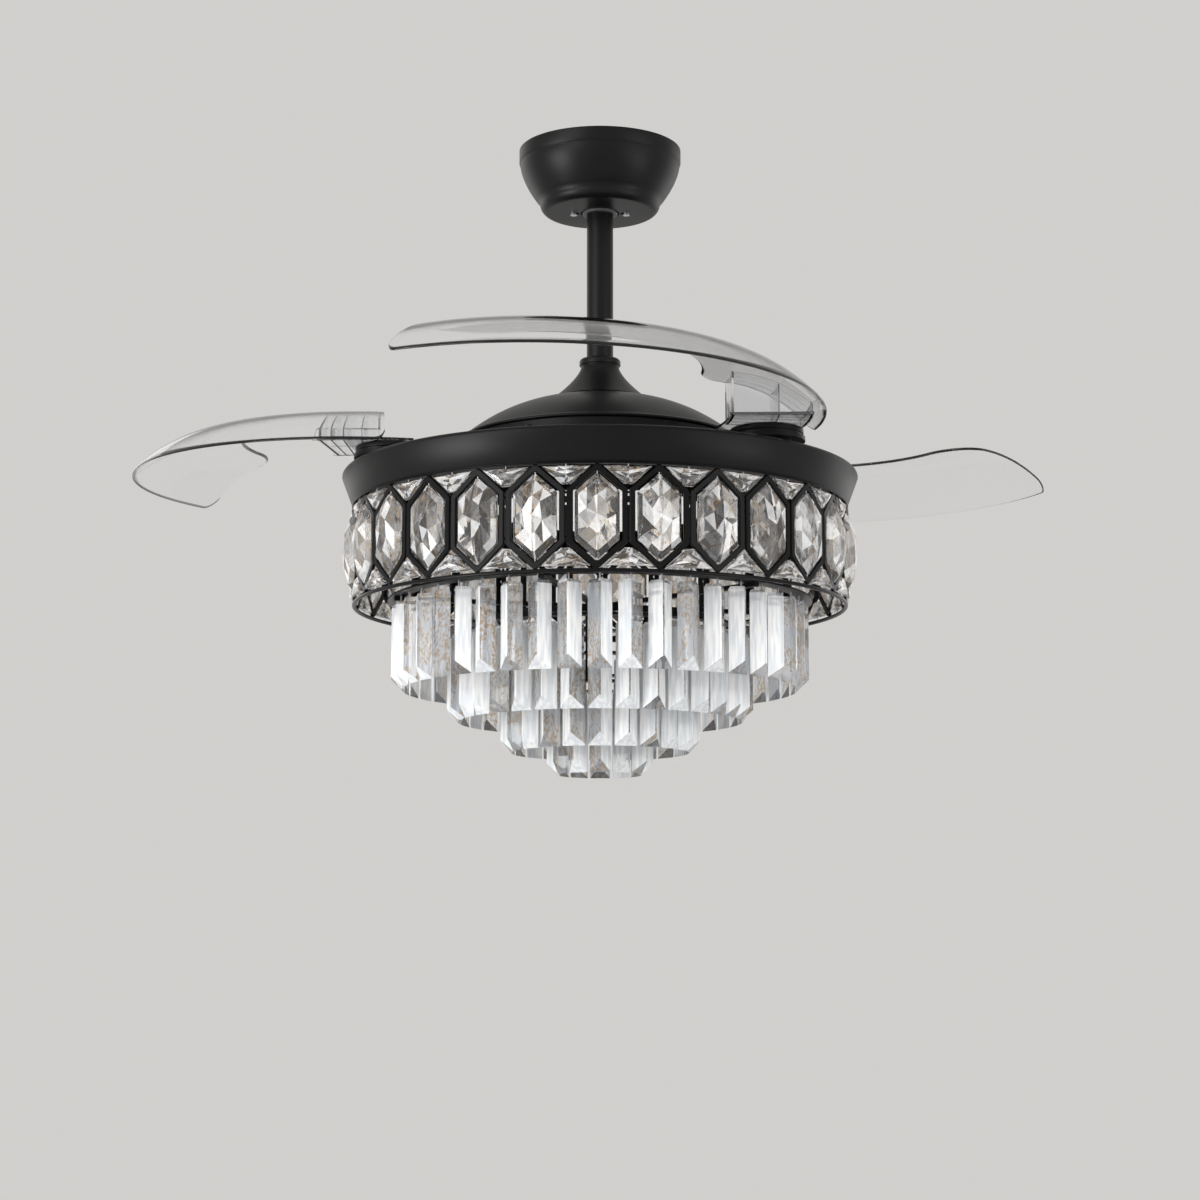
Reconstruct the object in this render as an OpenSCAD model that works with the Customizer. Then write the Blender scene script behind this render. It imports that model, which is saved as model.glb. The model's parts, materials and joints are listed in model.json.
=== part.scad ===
// Retractable blade ceiling fan: a ceiling canopy and downrod, a motor under a dome with
// three folding clear blades, and a crystal drum with four tiers of hanging prisms.
// Millimetres. The ceiling is the plane z = 0, the fan's axis is Z, and everything hangs below.

/* [Canopy and bracket] */
// Radius of the canopy at the ceiling
canopy_r = 80; // [74:1:95]
// Height of the canopy below the ceiling
canopy_h = 62.8; // [58:0.1:80]
// Height of the canopy's straight rim
canopy_rim_h = 14; // [8:1:20]
// Radius of the canopy's flat underside
canopy_base_r = 51; // [44:1:56]
// Radius of the hole in the canopy's underside
canopy_hole_r = 19; // [18.5:0.5:20]
// Sheet thickness of the canopy, the bell, the dome and the drum
sheet_t = 1.5; // [1:0.1:2.5]
// Thickness of the hanger bracket's steel
bracket_t = 2; // [1.5:0.1:3]
// Distance between the two ceiling screw holes
screw_spacing = 89; // [70:1:110]
// Radius of each ceiling screw hole
screw_hole_r = 2.6; // [2:0.1:3.5]

/* [Hanger and downrod] */
// Radius of the hanger ball
ball_r = 24; // [21:0.5:27]
// Outer radius of the downrod
rod_r = 13; // [10:0.5:14]
// Wall of the downrod
rod_wall = 1.5; // [1:0.1:3]
// Distance from the ceiling to the top of the bell
drop = 211.5; // [180:0.5:600]
// Radius of the cross pins in the ball and the yoke
pin_r = 3; // [2:0.5:4]

/* [Bell and dome] */
// Radius of the collar on top of the bell
collar_r = 20.2; // [19:0.1:24]
// Height of that collar
collar_h = 8.1; // [5:0.1:14]
// Height of the bell, from its neck to its foot
bell_h = 32.6; // [26:0.1:45]
// Radius of the bell's neck
neck_r = 18.6; // [18.2:0.1:18.9]
// Radius of the bell's foot
bell_r = 47; // [40:0.1:55]
// Running gap between the bell's foot and the dome
bell_gap = 1.6; // [1:0.1:5]
// Gap between the dome and the hinge discs
dome_gap = 39; // [30:1:42]
// Height of the dome's crown
dome_rise = 43; // [38:0.5:52]
// Height of the straight skirt below the dome
skirt_h = 25.8; // [20:0.1:40]

/* [Motor] */
// Radius of the hollow motor shaft
shaft_r = 10; // [8:0.5:12]
// Radius of the wire bore in that shaft
wire_r = 6; // [3:0.5:7]
// Outer radius of each ball bearing
bearing_r = 21; // [18:0.5:24]
// Width of each ball bearing
bearing_w = 12; // [8:1:14]
// Outer radius of the rotor housing
motor_r = 86; // [80:1:100]
// Air gap between the stator and the magnets
air_gap = 0.8; // [0.5:0.1:1.5]
// Number of stator teeth
teeth_n = 12; // [9:3:18]

/* [Blades] */
// Width of a blade, from its inner to its outer edge
blade_w = 112; // [100:1:120]
// Arc that a blade covers, in degrees
blade_arc = 135; // [125:1:140]
// Thickness of a blade
blade_t = 2.5; // [2:0.5:3]
// Height that a blade's crown stands above its outer edge
blade_crown = 42; // [36:1:50]
// How much higher a blade's tip lies than its root
blade_rise = 8; // [7:0.5:14]
// Radius of the rounded outer corner of a blade's tip
corner_out = 12; // [8:1:20]
// Radius of the rounded inner corner of a blade's tip
corner_in = 40; // [30:1:50]
// Distance from a folded blade's outer edge in to its hinge
hinge_inset = 42; // [38:1:46]
// Radius of a hinge disc
hinge_disc_r = 34; // [30:1:36]
// Thickness of a hinge disc
hinge_disc_t = 8; // [6:0.5:12]
// Radius of a hinge pin
hinge_pin_r = 4; // [3:0.5:5]
// How far the first blade is swung out, in degrees
open_1 = 81; // [70:1:90]
// How far the second blade is swung out, in degrees
open_2 = 58; // [50:1:70]
// How far the third blade is swung out, in degrees
open_3 = 77; // [65:1:85]

/* [Drum and lattice] */
// Outer radius of the drum band's top edge, and of the folded blades
drum_r = 250; // [240:1:262]
// Height of the drum band
drum_h = 31.2; // [24:0.2:50]
// How much the drum band narrows towards its foot
drum_taper = 10; // [4:1:12]
// Number of hexagons round the lattice
hex_n = 27; // [24:1:28]
// Distance from the drum band's foot in to the lattice
lattice_inset = 3; // [2:0.5:4]
// Height of a hexagon
hex_h = 93; // [80:1:120]
// Height of a hexagon's straight sides
hex_side_h = 45; // [35:1:60]
// Width of the lattice's strips
strip_w = 5; // [3:0.5:6]
// Thickness of the lattice's strips
strip_t = 3; // [2:0.5:4]

/* [Crystals] */
// Gap between a hexagon and its crystal
crystal_gap = 2.2; // [1:0.1:3]
// Thickness of a crystal's rim
rim_t = 3; // [2:0.5:5]
// How far a crystal bulges outwards from its rim
bulge = 11; // [6:0.5:14]
// Height of a prism
prism_l = 79.5; // [60:0.5:100]
// Width of a prism
prism_w = 23.5; // [16:0.5:23.5]
// Depth of a prism, from its back to its ridge
prism_d = 12; // [8:0.5:14]
// Height of the sloped cut at a prism's foot
prism_cut = 12; // [6:0.5:16]

/* [Prism tiers] */
// Ridge radius of the first tier, as a share of the lattice's radius
tier_share_1 = 0.852; // [0.83:0.001:0.87]
// Ridge radius of the second tier, as a share of the lattice's radius
tier_share_2 = 0.624; // [0.6:0.001:0.65]
// Ridge radius of the third tier, as a share of the lattice's radius
tier_share_3 = 0.409; // [0.39:0.001:0.43]
// Ridge radius of the fourth tier, as a share of the lattice's radius
tier_share_4 = 0.219; // [0.2:0.001:0.24]
// Number of prisms in the first tier
tier_n_1 = 44; // [36:1:46]
// Number of prisms in the second tier
tier_n_2 = 34; // [26:1:34]
// Number of prisms in the third tier
tier_n_3 = 22; // [16:1:22]
// Number of prisms in the fourth tier
tier_n_4 = 12; // [8:1:12]
// How far the second tier hangs below the first
tier_drop_2 = 30.3; // [24:0.1:45]
// How far the third tier hangs below the second
tier_drop_3 = 29.3; // [20:0.1:45]
// How far the fourth tier hangs below the third
tier_drop_4 = 21; // [12:0.5:45]
// Radius of the rods that carry the tiers
post_r = 2; // [1.5:0.5:3]
// Radius of the ring that braces the arms over the tiers
brace_r = 113; // [104:1:122]
// Height of that ring
brace_h = 6; // [4:0.5:10]

/* [Lamp] */
// Radius of the lamp tray
lamp_r = 100; // [80:1:106]
// Depth of the lamp tray
lamp_h = 26; // [25:1:40]
// Depth of the opal diffuser
diffuser_h = 10; // [6:1:20]

/* [Hidden] */
$fn = 96;

black = [0.05, 0.05, 0.055];
steel = [0.62, 0.63, 0.65];
glass = [0.86, 0.89, 0.92];
acrylic = [0.78, 0.80, 0.82];

fit = 0.03;          // running fit on a pin or a shaft
head_r = 3.4;        // heads of the small screws
head_h = 2;
hair = 0.3;          // gap between a moving face and its seat
more = 1;            // how far a cutter reaches past the face that it cuts
glue = 0.05;         // bond line between a blade and its bracket

// Radii that follow from the drum's
blade_r_out = drum_r;
blade_r_in = blade_r_out - blade_w;
hinge_circle_r = blade_r_out - hinge_inset;
dome_r = hinge_circle_r - hinge_disc_r - dome_gap;
band_foot_r = drum_r - drum_taper;
lattice_r = band_foot_r - lattice_inset;

// Heights, from the ceiling down
dome_power = 2.6;                   // how late the dome falls away to its edge
collar_z = -drop - collar_h;
bell_foot_z = collar_z - bell_h;
dome_apex_z = bell_foot_z - bell_gap + dome_rise * pow(bell_r / dome_r, dome_power);
dome_edge_z = dome_apex_z - dome_rise;
carrier_t = 4;
carrier_gap = 6;                    // from the turning carrier down to the drum
carrier_top_z = dome_edge_z - skirt_h;
carrier_z = carrier_top_z - carrier_t;
drum_top_z = carrier_z - carrier_gap;
plate_t = 2;
plate_top_z = drum_top_z - plate_t;
plate_z = plate_top_z - plate_t;
drum_foot_z = drum_top_z - drum_h;
ring_t = 2.2;
lattice_top_z = drum_foot_z - ring_t;
lattice_mid_z = lattice_top_z - hex_h / 2;
lattice_foot_z = lattice_top_z - hex_h;

// ---- Bracket, ball and canopy ----
socket_z = -46;                     // underside of the bracket's socket bar
socket_t = 4;
leg_x = 38;
bar_w = 34;
plate_r = canopy_r - 10;
seat_r = ball_r - 4;
ball_z = socket_z + socket_t + sqrt(ball_r * ball_r - seat_r * seat_r) - socket_t / 2;
ball_top_z = ball_z + 19;
ball_foot_z = ball_z - 16;
wire_hole_r = 11;
rod_top_z = ball_top_z;
rod_foot_z = bell_foot_z + 4;
canopy_screw_x = 26;
canopy_screw_r = 2;
keyhole_x = 22.6;                   // the wide end of each screw's keyhole
keyhole_r = 2.6;
rod_ring_w = 4.4;                   // width of the ring round the rod in the canopy's hole
step_in = 3.5;                      // the crisp step between the canopy's bowl and its foot
step_h = 4;
foot_h = 9.8;                       // height and width of the rounding at the canopy's foot
foot_w = 8.5;
bowl_power = 1.6;                   // how round the canopy's bowl is

function canopy_curve() = let (r0 = canopy_r - 1, r1 = canopy_base_r + foot_w + step_in,
    z1 = -canopy_h + foot_h + step_h) [for (i = [0:10]) let (t = i / 10)
        [r0 - (r0 - r1) * pow(t, bowl_power), -canopy_rim_h + (z1 + canopy_rim_h) * t]];
function canopy_foot() = [for (a = [0:15:90])
    [canopy_base_r + foot_w * cos(a), -canopy_h + foot_h * (1 - sin(a))]];
function canopy_outer() = concat([[canopy_r, 0], [canopy_r, -canopy_rim_h + 1]], canopy_curve(),
    canopy_foot());
function reversed(p) = [for (i = [len(p) - 1:-1:0]) p[i]];

module at_z(z) { translate([0, 0, z]) children(); }

module ring(r_in, r_out, z0, z1) {
    at_z(z0) difference() {
        cylinder(h = z1 - z0, r = r_out);
        at_z(-more) cylinder(h = z1 - z0 + 2 * more, r = r_in);
    }
}

module round_copies(n, phase = 0) {
    for (i = [0:n - 1]) rotate(phase + i * 360 / n) children();
}

module bar_x(r, len) { rotate([0, 90, 0]) cylinder(h = len, r = r, center = true); }

module canopy_screw_holes(r) {
    for (s = [-1, 1])
        translate([s * canopy_screw_x, 0, -canopy_h - more])
            cylinder(h = canopy_h, r = r, $fn = 32);
}

module hanger_bracket() {
    color(steel) difference() {
        union() {
            at_z(-bracket_t) cylinder(h = bracket_t, r = plate_r);
            for (s = [-1, 1])
                translate([s * (leg_x + bracket_t / 2) - bracket_t / 2, -bar_w / 2, socket_z])
                    cube([bracket_t, bar_w, -socket_z - bracket_t / 2]);
            translate([-leg_x - bracket_t / 2, -bar_w / 2 - 5, socket_z])
                cube([2 * leg_x + bracket_t, bar_w + 10, socket_t]);
        }
        for (s = [-1, 1])
            translate([s * screw_spacing / 2, 0, -bracket_t - more])
                cylinder(h = bracket_t + 2 * more, r = screw_hole_r);
        at_z(-bracket_t - more) cylinder(h = bracket_t + 2 * more, r = wire_hole_r);
        at_z(ball_z) sphere(r = ball_r + fit);
        canopy_screw_holes(canopy_screw_r + fit);
    }
}

module hanger_ball() {
    color([0.12, 0.12, 0.13]) difference() {
        intersection() {
            at_z(ball_z) sphere(r = ball_r);
            at_z(ball_foot_z) cylinder(h = ball_top_z - ball_foot_z, r = ball_r + more);
        }
        at_z(ball_foot_z - more) cylinder(h = 3 * ball_r, r = rod_r + fit);
        at_z(ball_z) bar_x(pin_r + fit, 3 * ball_r);
    }
}

module ball_pin() { color(steel) at_z(ball_z) bar_x(pin_r, 2 * ball_r - 4); }

module downrod() {
    color(black) difference() {
        ring(rod_r - rod_wall, rod_r, rod_foot_z, rod_top_z);
        at_z(ball_z) bar_x(pin_r + fit, 3 * ball_r);
        at_z(yoke_pin_z) bar_x(pin_r + fit, 3 * ball_r);
    }
}

module canopy() {
    outer = canopy_outer();
    inner = [for (p = outer) [p[0] - sheet_t, min(p[1] + (p[1] < -canopy_rim_h ? sheet_t : 0), 0)]];
    color(black) difference() {
        rotate_extrude() polygon(concat(outer, [[canopy_hole_r, -canopy_h],
            [canopy_hole_r, -canopy_h + sheet_t]], reversed(inner)));
        canopy_screw_holes(canopy_screw_r + fit);
        for (s = [-1, 1]) translate([s * keyhole_x, 0, -canopy_h - more])
            cylinder(h = sheet_t + 2 * more, r = keyhole_r, $fn = 32);
    }
}

// A soft ring round the rod that closes the hole in the canopy
module canopy_ring() {
    r = rod_r + fit;
    color(black) rotate_extrude() polygon([[r, -canopy_h - 2], [r + rod_ring_w - 1, -canopy_h - 2],
        [r + rod_ring_w, -canopy_h - 1], [r + rod_ring_w, -canopy_h + 4], [r, -canopy_h + 4]]);
}

module canopy_screws() {
    color(steel) for (s = [-1, 1]) translate([s * canopy_screw_x, 0, 0]) {
        at_z(-canopy_h - head_h) cylinder(h = head_h, r = head_r, $fn = 32);
        at_z(-canopy_h) cylinder(h = canopy_h + socket_z + socket_t, r = canopy_screw_r, $fn = 32);
    }
}

module receiver_box() {
    size = [72, 20, 24];
    color([0.85, 0.85, 0.85]) translate([-size[0] / 2, ball_r + 1, -bracket_t - size[2]])
        cube(size);
}

// ---- Yoke, bell and dome ----
groove_h = 1.6;                     // shadow groove under the collar's lip
flare_power = 1.45;                 // how late the bell flares out
yoke_r = neck_r - sheet_t - 0.6;
yoke_top_z = collar_z - sheet_t;
yoke_z = dome_apex_z - 14;
yoke_pin_z = yoke_top_z - 12;
shaft_top_z = rod_foot_z - 1;

module yoke() {
    color(steel) difference() {
        at_z(yoke_z) cylinder(h = yoke_top_z - yoke_z, r = yoke_r);
        at_z(shaft_top_z) cylinder(h = drop, r = rod_r + fit);
        at_z(yoke_z - more) cylinder(h = drop, r = shaft_r + fit);
        at_z(yoke_pin_z) bar_x(pin_r + fit, 3 * yoke_r);
    }
}

module rod_pin() { color(steel) at_z(yoke_pin_z) bar_x(pin_r, 2 * yoke_r - 0.6); }

module bell_collar() {
    color(black) rotate_extrude() polygon([[rod_r + fit, collar_z], [neck_r, collar_z],
        [neck_r, collar_z + groove_h], [collar_r, collar_z + groove_h],
        [collar_r, -drop - 1.5], [collar_r - 1.5, -drop], [rod_r + fit, -drop]]);
}

module bell_cover() {
    outer = [for (i = [0:14]) let (t = i / 14)
        [neck_r + (bell_r - neck_r) * pow(t, flare_power), collar_z - bell_h * t]];
    inner = [for (p = outer) [p[0] - sheet_t, min(p[1], collar_z - sheet_t)]];
    color(black) rotate_extrude() polygon(concat([[rod_r + fit, collar_z]], outer,
        reversed(inner), [[rod_r + fit, collar_z - sheet_t]]));
}

// Height of the dome's upper face at radius r
function dome_z(r) = dome_apex_z - dome_rise * pow(r / dome_r, dome_power);

module dome_cover() {
    hole_r = yoke_r + 4;
    steps = 20;
    edge_w = 3;
    edge_h = 4;
    outer = [for (i = [0:steps]) let (r = hole_r + (dome_r - hole_r) * i / steps) [r, dome_z(r)]];
    inner = [for (p = outer) [min(p[0], dome_r - sheet_t), p[1] - sheet_t]];
    color(black) rotate_extrude() polygon(concat(outer, [[dome_r + edge_w, dome_edge_z - 0.6],
        [dome_r + edge_w, dome_edge_z + 0.6 - edge_h], [dome_r, dome_edge_z - edge_h],
        [dome_r, carrier_top_z], [dome_r - sheet_t, carrier_top_z]], reversed(inner)));
}

// ---- Motor ----
housing_top_z = dome_z(motor_r) - sheet_t - 4;
housing_t = 3;
magnet_t = 6.1;
stator_r = motor_r - housing_t - magnet_t - air_gap;
stator_top_z = housing_top_z - bearing_w - 5;
stator_z = carrier_top_z + 10;
coil_out = 4;
tooth_w = 9;
hub_r = shaft_r + 22;
shaft_foot_z = plate_z - 18;
shaft_flange_r = shaft_r + 6;

module motor_shaft() {
    color(steel) difference() {
        union() {
            at_z(shaft_foot_z) cylinder(h = shaft_top_z - shaft_foot_z, r = shaft_r);
            at_z(plate_top_z) cylinder(h = 2, r = shaft_flange_r);
        }
        at_z(shaft_foot_z - more) cylinder(h = shaft_top_z - shaft_foot_z + 2 * more, r = wire_r);
    }
}

module stator_core() {
    color([0.45, 0.46, 0.48]) difference() {
        union() {
            at_z(stator_z) cylinder(h = stator_top_z - stator_z, r = hub_r);
            round_copies(teeth_n) {
                translate([hub_r - 4, -tooth_w / 2, stator_z])
                    cube([stator_r - 3 - hub_r + 4, tooth_w, stator_top_z - stator_z]);
                intersection() {
                    ring(stator_r - 4, stator_r, stator_z, stator_top_z);
                    translate([0, -tooth_w, stator_z])
                        cube([stator_r + more, 2 * tooth_w, stator_top_z - stator_z]);
                }
            }
        }
        at_z(stator_z - more) cylinder(h = drop, r = shaft_r);
    }
}

module stator_windings() {
    coil_r0 = hub_r + 2;
    coil_len = stator_r - 6 - coil_r0;
    coil_w = 2 * (coil_r0 * tan(180 / teeth_n) - 0.6);
    color([0.72, 0.4, 0.2]) round_copies(teeth_n) difference() {
        translate([coil_r0, -coil_w / 2, stator_z - coil_out])
            cube([coil_len, coil_w, stator_top_z - stator_z + 2 * coil_out]);
        translate([coil_r0 - more, -tooth_w / 2, stator_z])
            cube([coil_len + 2 * more, tooth_w, stator_top_z - stator_z]);
    }
}

module rotor_housing() {
    color([0.2, 0.2, 0.21]) rotate_extrude() polygon([[bearing_r, housing_top_z],
        [motor_r, housing_top_z], [motor_r, carrier_top_z],
        [motor_r - housing_t, carrier_top_z], [motor_r - housing_t, housing_top_z - housing_t],
        [bearing_r + 4, housing_top_z - housing_t], [bearing_r + 4, housing_top_z - bearing_w],
        [bearing_r, housing_top_z - bearing_w]]);
}

module rotor_magnets() {
    magnet_n = 2 * teeth_n - 4;
    magnet_arc = 0.84 * 360 / magnet_n;
    color([0.3, 0.3, 0.32]) round_copies(magnet_n)
        rotate(-magnet_arc / 2) rotate_extrude(angle = magnet_arc)
            translate([stator_r + air_gap, stator_z - 2])
                square([magnet_t, stator_top_z - stator_z + 4]);
}

module motor_bearings() {
    color(steel) for (z = [housing_top_z - bearing_w, carrier_z])
        ring(shaft_r + fit, bearing_r, z, z + bearing_w);
}

// ---- Blade carrier and hinges ----
hinge_az = [197.5, 317.5, 77.5];    // where the three hinges stand round the axis
opened = [open_1, open_2, open_3];
disc_z = carrier_top_z + hair;
disc_top_z = disc_z + hinge_disc_t;
disc_edge = 1.5;                    // bevel round a hinge disc's top
base_t = 2.5;                       // floor of a blade bracket
spring_r = hinge_pin_r + 3;
pin_head_r = hinge_pin_r + 3;
pin_head_h = 3;
pin_foot_z = carrier_z - 4.5;
bracket_screw_r = 1.9;
bracket_screw_circle_r = 18;

module at_hinge(i) { rotate(hinge_az[i]) translate([hinge_circle_r, 0, 0]) children(); }

// Stands a folded blade's shape at its hinge and swings it out
module swung(i) {
    at_hinge(i) rotate(opened[i]) translate([-hinge_circle_r, 0, 0]) children();
}

module blade_carrier() {
    lobe_r = hinge_disc_r + 1.5;
    color(black) difference() {
        union() {
            at_z(carrier_z) cylinder(h = carrier_t, r = hinge_circle_r - hinge_disc_r / 2);
            for (i = [0:2]) at_hinge(i) at_z(carrier_z) cylinder(h = carrier_t, r = lobe_r);
            at_z(carrier_z) cylinder(h = bearing_w, r = bearing_r + 5);
        }
        at_z(carrier_z - more) cylinder(h = bearing_w + 2 * more, r = bearing_r);
        for (i = [0:2]) at_hinge(i) at_z(carrier_z - more)
            cylinder(h = carrier_t + 2 * more, r = hinge_pin_r);
    }
}

module hinge_pins() {
    head_z = disc_top_z + base_t + hair;
    color(steel) for (i = [0:2]) at_hinge(i) {
        at_z(pin_foot_z) cylinder(h = head_z - pin_foot_z, r = hinge_pin_r);
        at_z(head_z) cylinder(h = pin_head_h, r = pin_head_r);
    }
}

module return_springs() {
    color(steel) for (i = [0:2]) at_hinge(i)
        ring(hinge_pin_r, spring_r, pin_foot_z + 1, carrier_z);
}

module hinge_disc(i) {
    color(black) swung(i) translate([hinge_circle_r, 0, disc_z]) difference() {
        union() {
            cylinder(h = hinge_disc_t - disc_edge, r = hinge_disc_r);
            at_z(hinge_disc_t - disc_edge)
                cylinder(h = disc_edge, r1 = hinge_disc_r, r2 = hinge_disc_r - disc_edge);
        }
        at_z(-more) cylinder(h = hinge_disc_t + 2 * more, r = hinge_pin_r + fit);
        bracket_screw_spots() at_z(-more)
            cylinder(h = hinge_disc_t + 2 * more, r = bracket_screw_r, $fn = 32);
    }
}

module bracket_screw_spots() {
    for (a = [45:90:315]) rotate(a) translate([bracket_screw_circle_r, 0, 0]) children();
}

module bracket_screws(i) {
    color(steel) swung(i) translate([hinge_circle_r, 0, 0]) bracket_screw_spots() {
        at_z(disc_z + 1) cylinder(h = hinge_disc_t + base_t - 1, r = bracket_screw_r, $fn = 32);
        at_z(disc_top_z + base_t) cylinder(h = head_h, r = head_r, $fn = 32);
    }
}

// ---- Blades ----
blade_start = 2;                    // degrees from the hinge to the blade's root
blade_foot = 11.9;                  // from the carrier up to a folded blade's outer edge
blade_edge_z = carrier_top_z + blade_foot;
blade_bow = 2.8;                    // how late the crown falls away to the outer edge
blade_mid = blade_start + blade_arc / 2;
blade_tilt = asin(blade_rise / 2 / (blade_r_out * sin(blade_arc / 2)));
blade_steps = 16;                   // straight steps that a blade's section is drawn in
blade_step = blade_w / blade_steps;

// A point of the section's upper face, and that face's height at radius r as it is drawn
function blade_point(i) = [blade_r_in + i * blade_step,
    blade_edge_z + blade_crown * (1 - pow(i / blade_steps, blade_bow))];
function blade_z(r) = let (i = min(floor((r - blade_r_in) / blade_step), blade_steps - 1),
    p = blade_point(i), q = blade_point(i + 1)) p[1] + (q[1] - p[1]) * (r - p[0]) / blade_step;

module blade_section() {
    top = [for (i = [0:blade_steps]) blade_point(i)];
    polygon(concat(top, reversed([for (p = top) [p[0], p[1] - blade_t]])));
}

// Tips the revolved shape about its outer edge, so that it climbs from root to tip
module tipped() {
    at_z(blade_edge_z) rotate(-blade_mid) rotate([-blade_tilt, 0, 0]) rotate(blade_mid)
        at_z(-blade_edge_z) children();
}

// What lies outside a rounded corner of a tip that stands on the X axis, where that meets the
// edge at radius r. The circle is a little larger than its distance from the two edges, so that
// it cuts across both
module beyond_corner(r, corner, side) {
    reach = r - side * corner;
    turn = asin(corner / reach);
    centre = [reach * cos(turn), corner];
    far = r + side * 4 * more;
    at_z(blade_edge_z - blade_rise - blade_t) linear_extrude(blade_crown + 3 * blade_rise)
        difference() {
            polygon([centre, [centre[0], -more], [far, -more], far * [cos(turn), sin(turn)]]);
            translate(centre) circle(r = corner * 1.04);
        }
}

module blade(i) {
    color(acrylic) swung(i) tipped() rotate(-blade_start - blade_arc) difference() {
        rotate_extrude(angle = blade_arc, $fn = 144) blade_section();
        beyond_corner(blade_r_out, corner_out, 1);
        beyond_corner(blade_r_in, corner_in, -1);
    }
}

bracket_r_in = hinge_circle_r - 43;
bracket_r_out = hinge_circle_r + 30;
bracket_start = 3;
bracket_arc = 14;
bracket_wall = 2;
rib_arc = bracket_wall / hinge_circle_r * 180 / PI;
rib_at = 0.6;                       // where the middle rib stands, as a share of the arc
rib_in = 0.2;                       // how far the end ribs stand in from the walls' ends, in degrees
tongue_arc = 7.5;                   // floor of the bracket beyond the blade's root
floor_lip = 1.2;                    // how far the floor stands out past the walls

// A line under the blade from radius r0 to r1, the given gap away from it
function under_blade(r0, r1, gap) = concat([[r0, blade_z(r0) - blade_t - gap]],
    [for (i = [0:blade_steps]) let (p = blade_point(i))
        if (p[0] > r0 + glue && p[0] < r1 - glue) [p[0], p[1] - blade_t - gap]],
    [[r1, blade_z(r1) - blade_t - gap]]);

// A wall from below the hinge disc's top up to the blade's underside
module wall_under_blade(r0, r1, a0, a1, gap = glue) {
    tipped() rotate(-a1) rotate_extrude(angle = a1 - a0, $fn = 144)
        polygon(concat([[r0, disc_z]], under_blade(r0, r1, gap), [[r1, disc_z]]));
}

module bracket_floor() {
    a0 = bracket_start - tongue_arc;
    a1 = bracket_start + bracket_arc + floor_lip / hinge_circle_r * 180 / PI;
    at_z(disc_top_z) rotate(-a1) rotate_extrude(angle = a1 - a0, $fn = 144)
        translate([bracket_r_in - floor_lip, 0])
            square([bracket_r_out - bracket_r_in + 2 * floor_lip, base_t]);
}

module bracket_walls() {
    a1 = bracket_start + bracket_arc;
    cut_h = 3 * hinge_disc_t;
    difference() {
        union() {
            wall_under_blade(bracket_r_in, bracket_r_in + bracket_wall, bracket_start, a1);
            wall_under_blade(bracket_r_out - bracket_wall, bracket_r_out, bracket_start, a1);
            for (a = [bracket_start + rib_in, bracket_start + rib_at * bracket_arc,
                a1 - rib_arc - rib_in])
                wall_under_blade(bracket_r_in + bracket_wall / 2, bracket_r_out - bracket_wall / 2,
                    a, a + rib_arc, glue + 0.3);
        }
        translate([0, -blade_r_out, disc_top_z + base_t / 2 - cut_h])
            cube([blade_r_out, 2 * blade_r_out, cut_h]);
        // Room over the pin's head and the screws' heads
        translate([hinge_circle_r, 0, disc_top_z]) {
            cylinder(h = hinge_disc_t, r = pin_head_r + 1);
            bracket_screw_spots() cylinder(h = hinge_disc_t, r = head_r + 0.8, $fn = 32);
        }
    }
}

module blade_bracket(i) {
    color(acrylic) swung(i) difference() {
        union() {
            bracket_floor();
            bracket_walls();
        }
        translate([hinge_circle_r, 0, disc_top_z - more]) {
            cylinder(h = base_t + 2 * more, r = hinge_pin_r + fit);
            bracket_screw_spots() cylinder(h = base_t + 2 * more, r = bracket_screw_r, $fn = 32);
        }
    }
}

// ---- Drum ----
shoulder = 4;
lip_w = 14;
lip_r_in = drum_r - lip_w;
band_screw_r = 2;
screw_circle_r = lip_r_in + 5;
band_screw_n = 6;
band_screw_az = 15;                 // none of them stands at the very front
nut_h = 8;
seat_w = 1.5;                       // inner step at the band's foot that the lattice hangs from

module drum_plate() {
    color(black) difference() {
        at_z(plate_z) cylinder(h = plate_t, r = drum_r - 6);
        at_z(plate_z - more) cylinder(h = plate_t + 2 * more, r = shaft_r);
        round_copies(band_screw_n, band_screw_az) translate([screw_circle_r, 0, plate_z - more])
            cylinder(h = plate_t + 2 * more, r = band_screw_r, $fn = 32);
    }
}

module shaft_nut() {
    color(steel) at_z(plate_z - nut_h) difference() {
        cylinder(h = nut_h, r = shaft_r + 7, $fn = 6);
        at_z(-more) cylinder(h = nut_h + 2 * more, r = shaft_r);
    }
}

module drum_band() {
    w = sheet_t;
    edge = [for (a = [0:22.5:90])
        [drum_r - shoulder + shoulder * sin(a), drum_top_z - shoulder + shoulder * cos(a)]];
    color(black) difference() {
        rotate_extrude($fn = 180) polygon(concat([[lip_r_in, drum_top_z]], edge,
            [[band_foot_r, drum_foot_z], [band_foot_r - w - seat_w, drum_foot_z],
             [band_foot_r - w - seat_w, drum_foot_z + 2], [band_foot_r - w, drum_foot_z + 2],
             [drum_r - w, drum_top_z - shoulder], [drum_r - shoulder, drum_top_z - plate_t],
             [lip_r_in, drum_top_z - plate_t]]));
        round_copies(band_screw_n, band_screw_az)
            translate([screw_circle_r, 0, drum_top_z - plate_t - more])
                cylinder(h = plate_t + 2 * more, r = band_screw_r, $fn = 32);
    }
}

module band_screws() {
    color(black) round_copies(band_screw_n, band_screw_az) translate([screw_circle_r, 0, 0]) {
        at_z(drum_top_z) cylinder(h = head_h, r = head_r, $fn = 32);
        at_z(plate_z) cylinder(h = drum_top_z - plate_z, r = band_screw_r, $fn = 32);
    }
}

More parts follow.
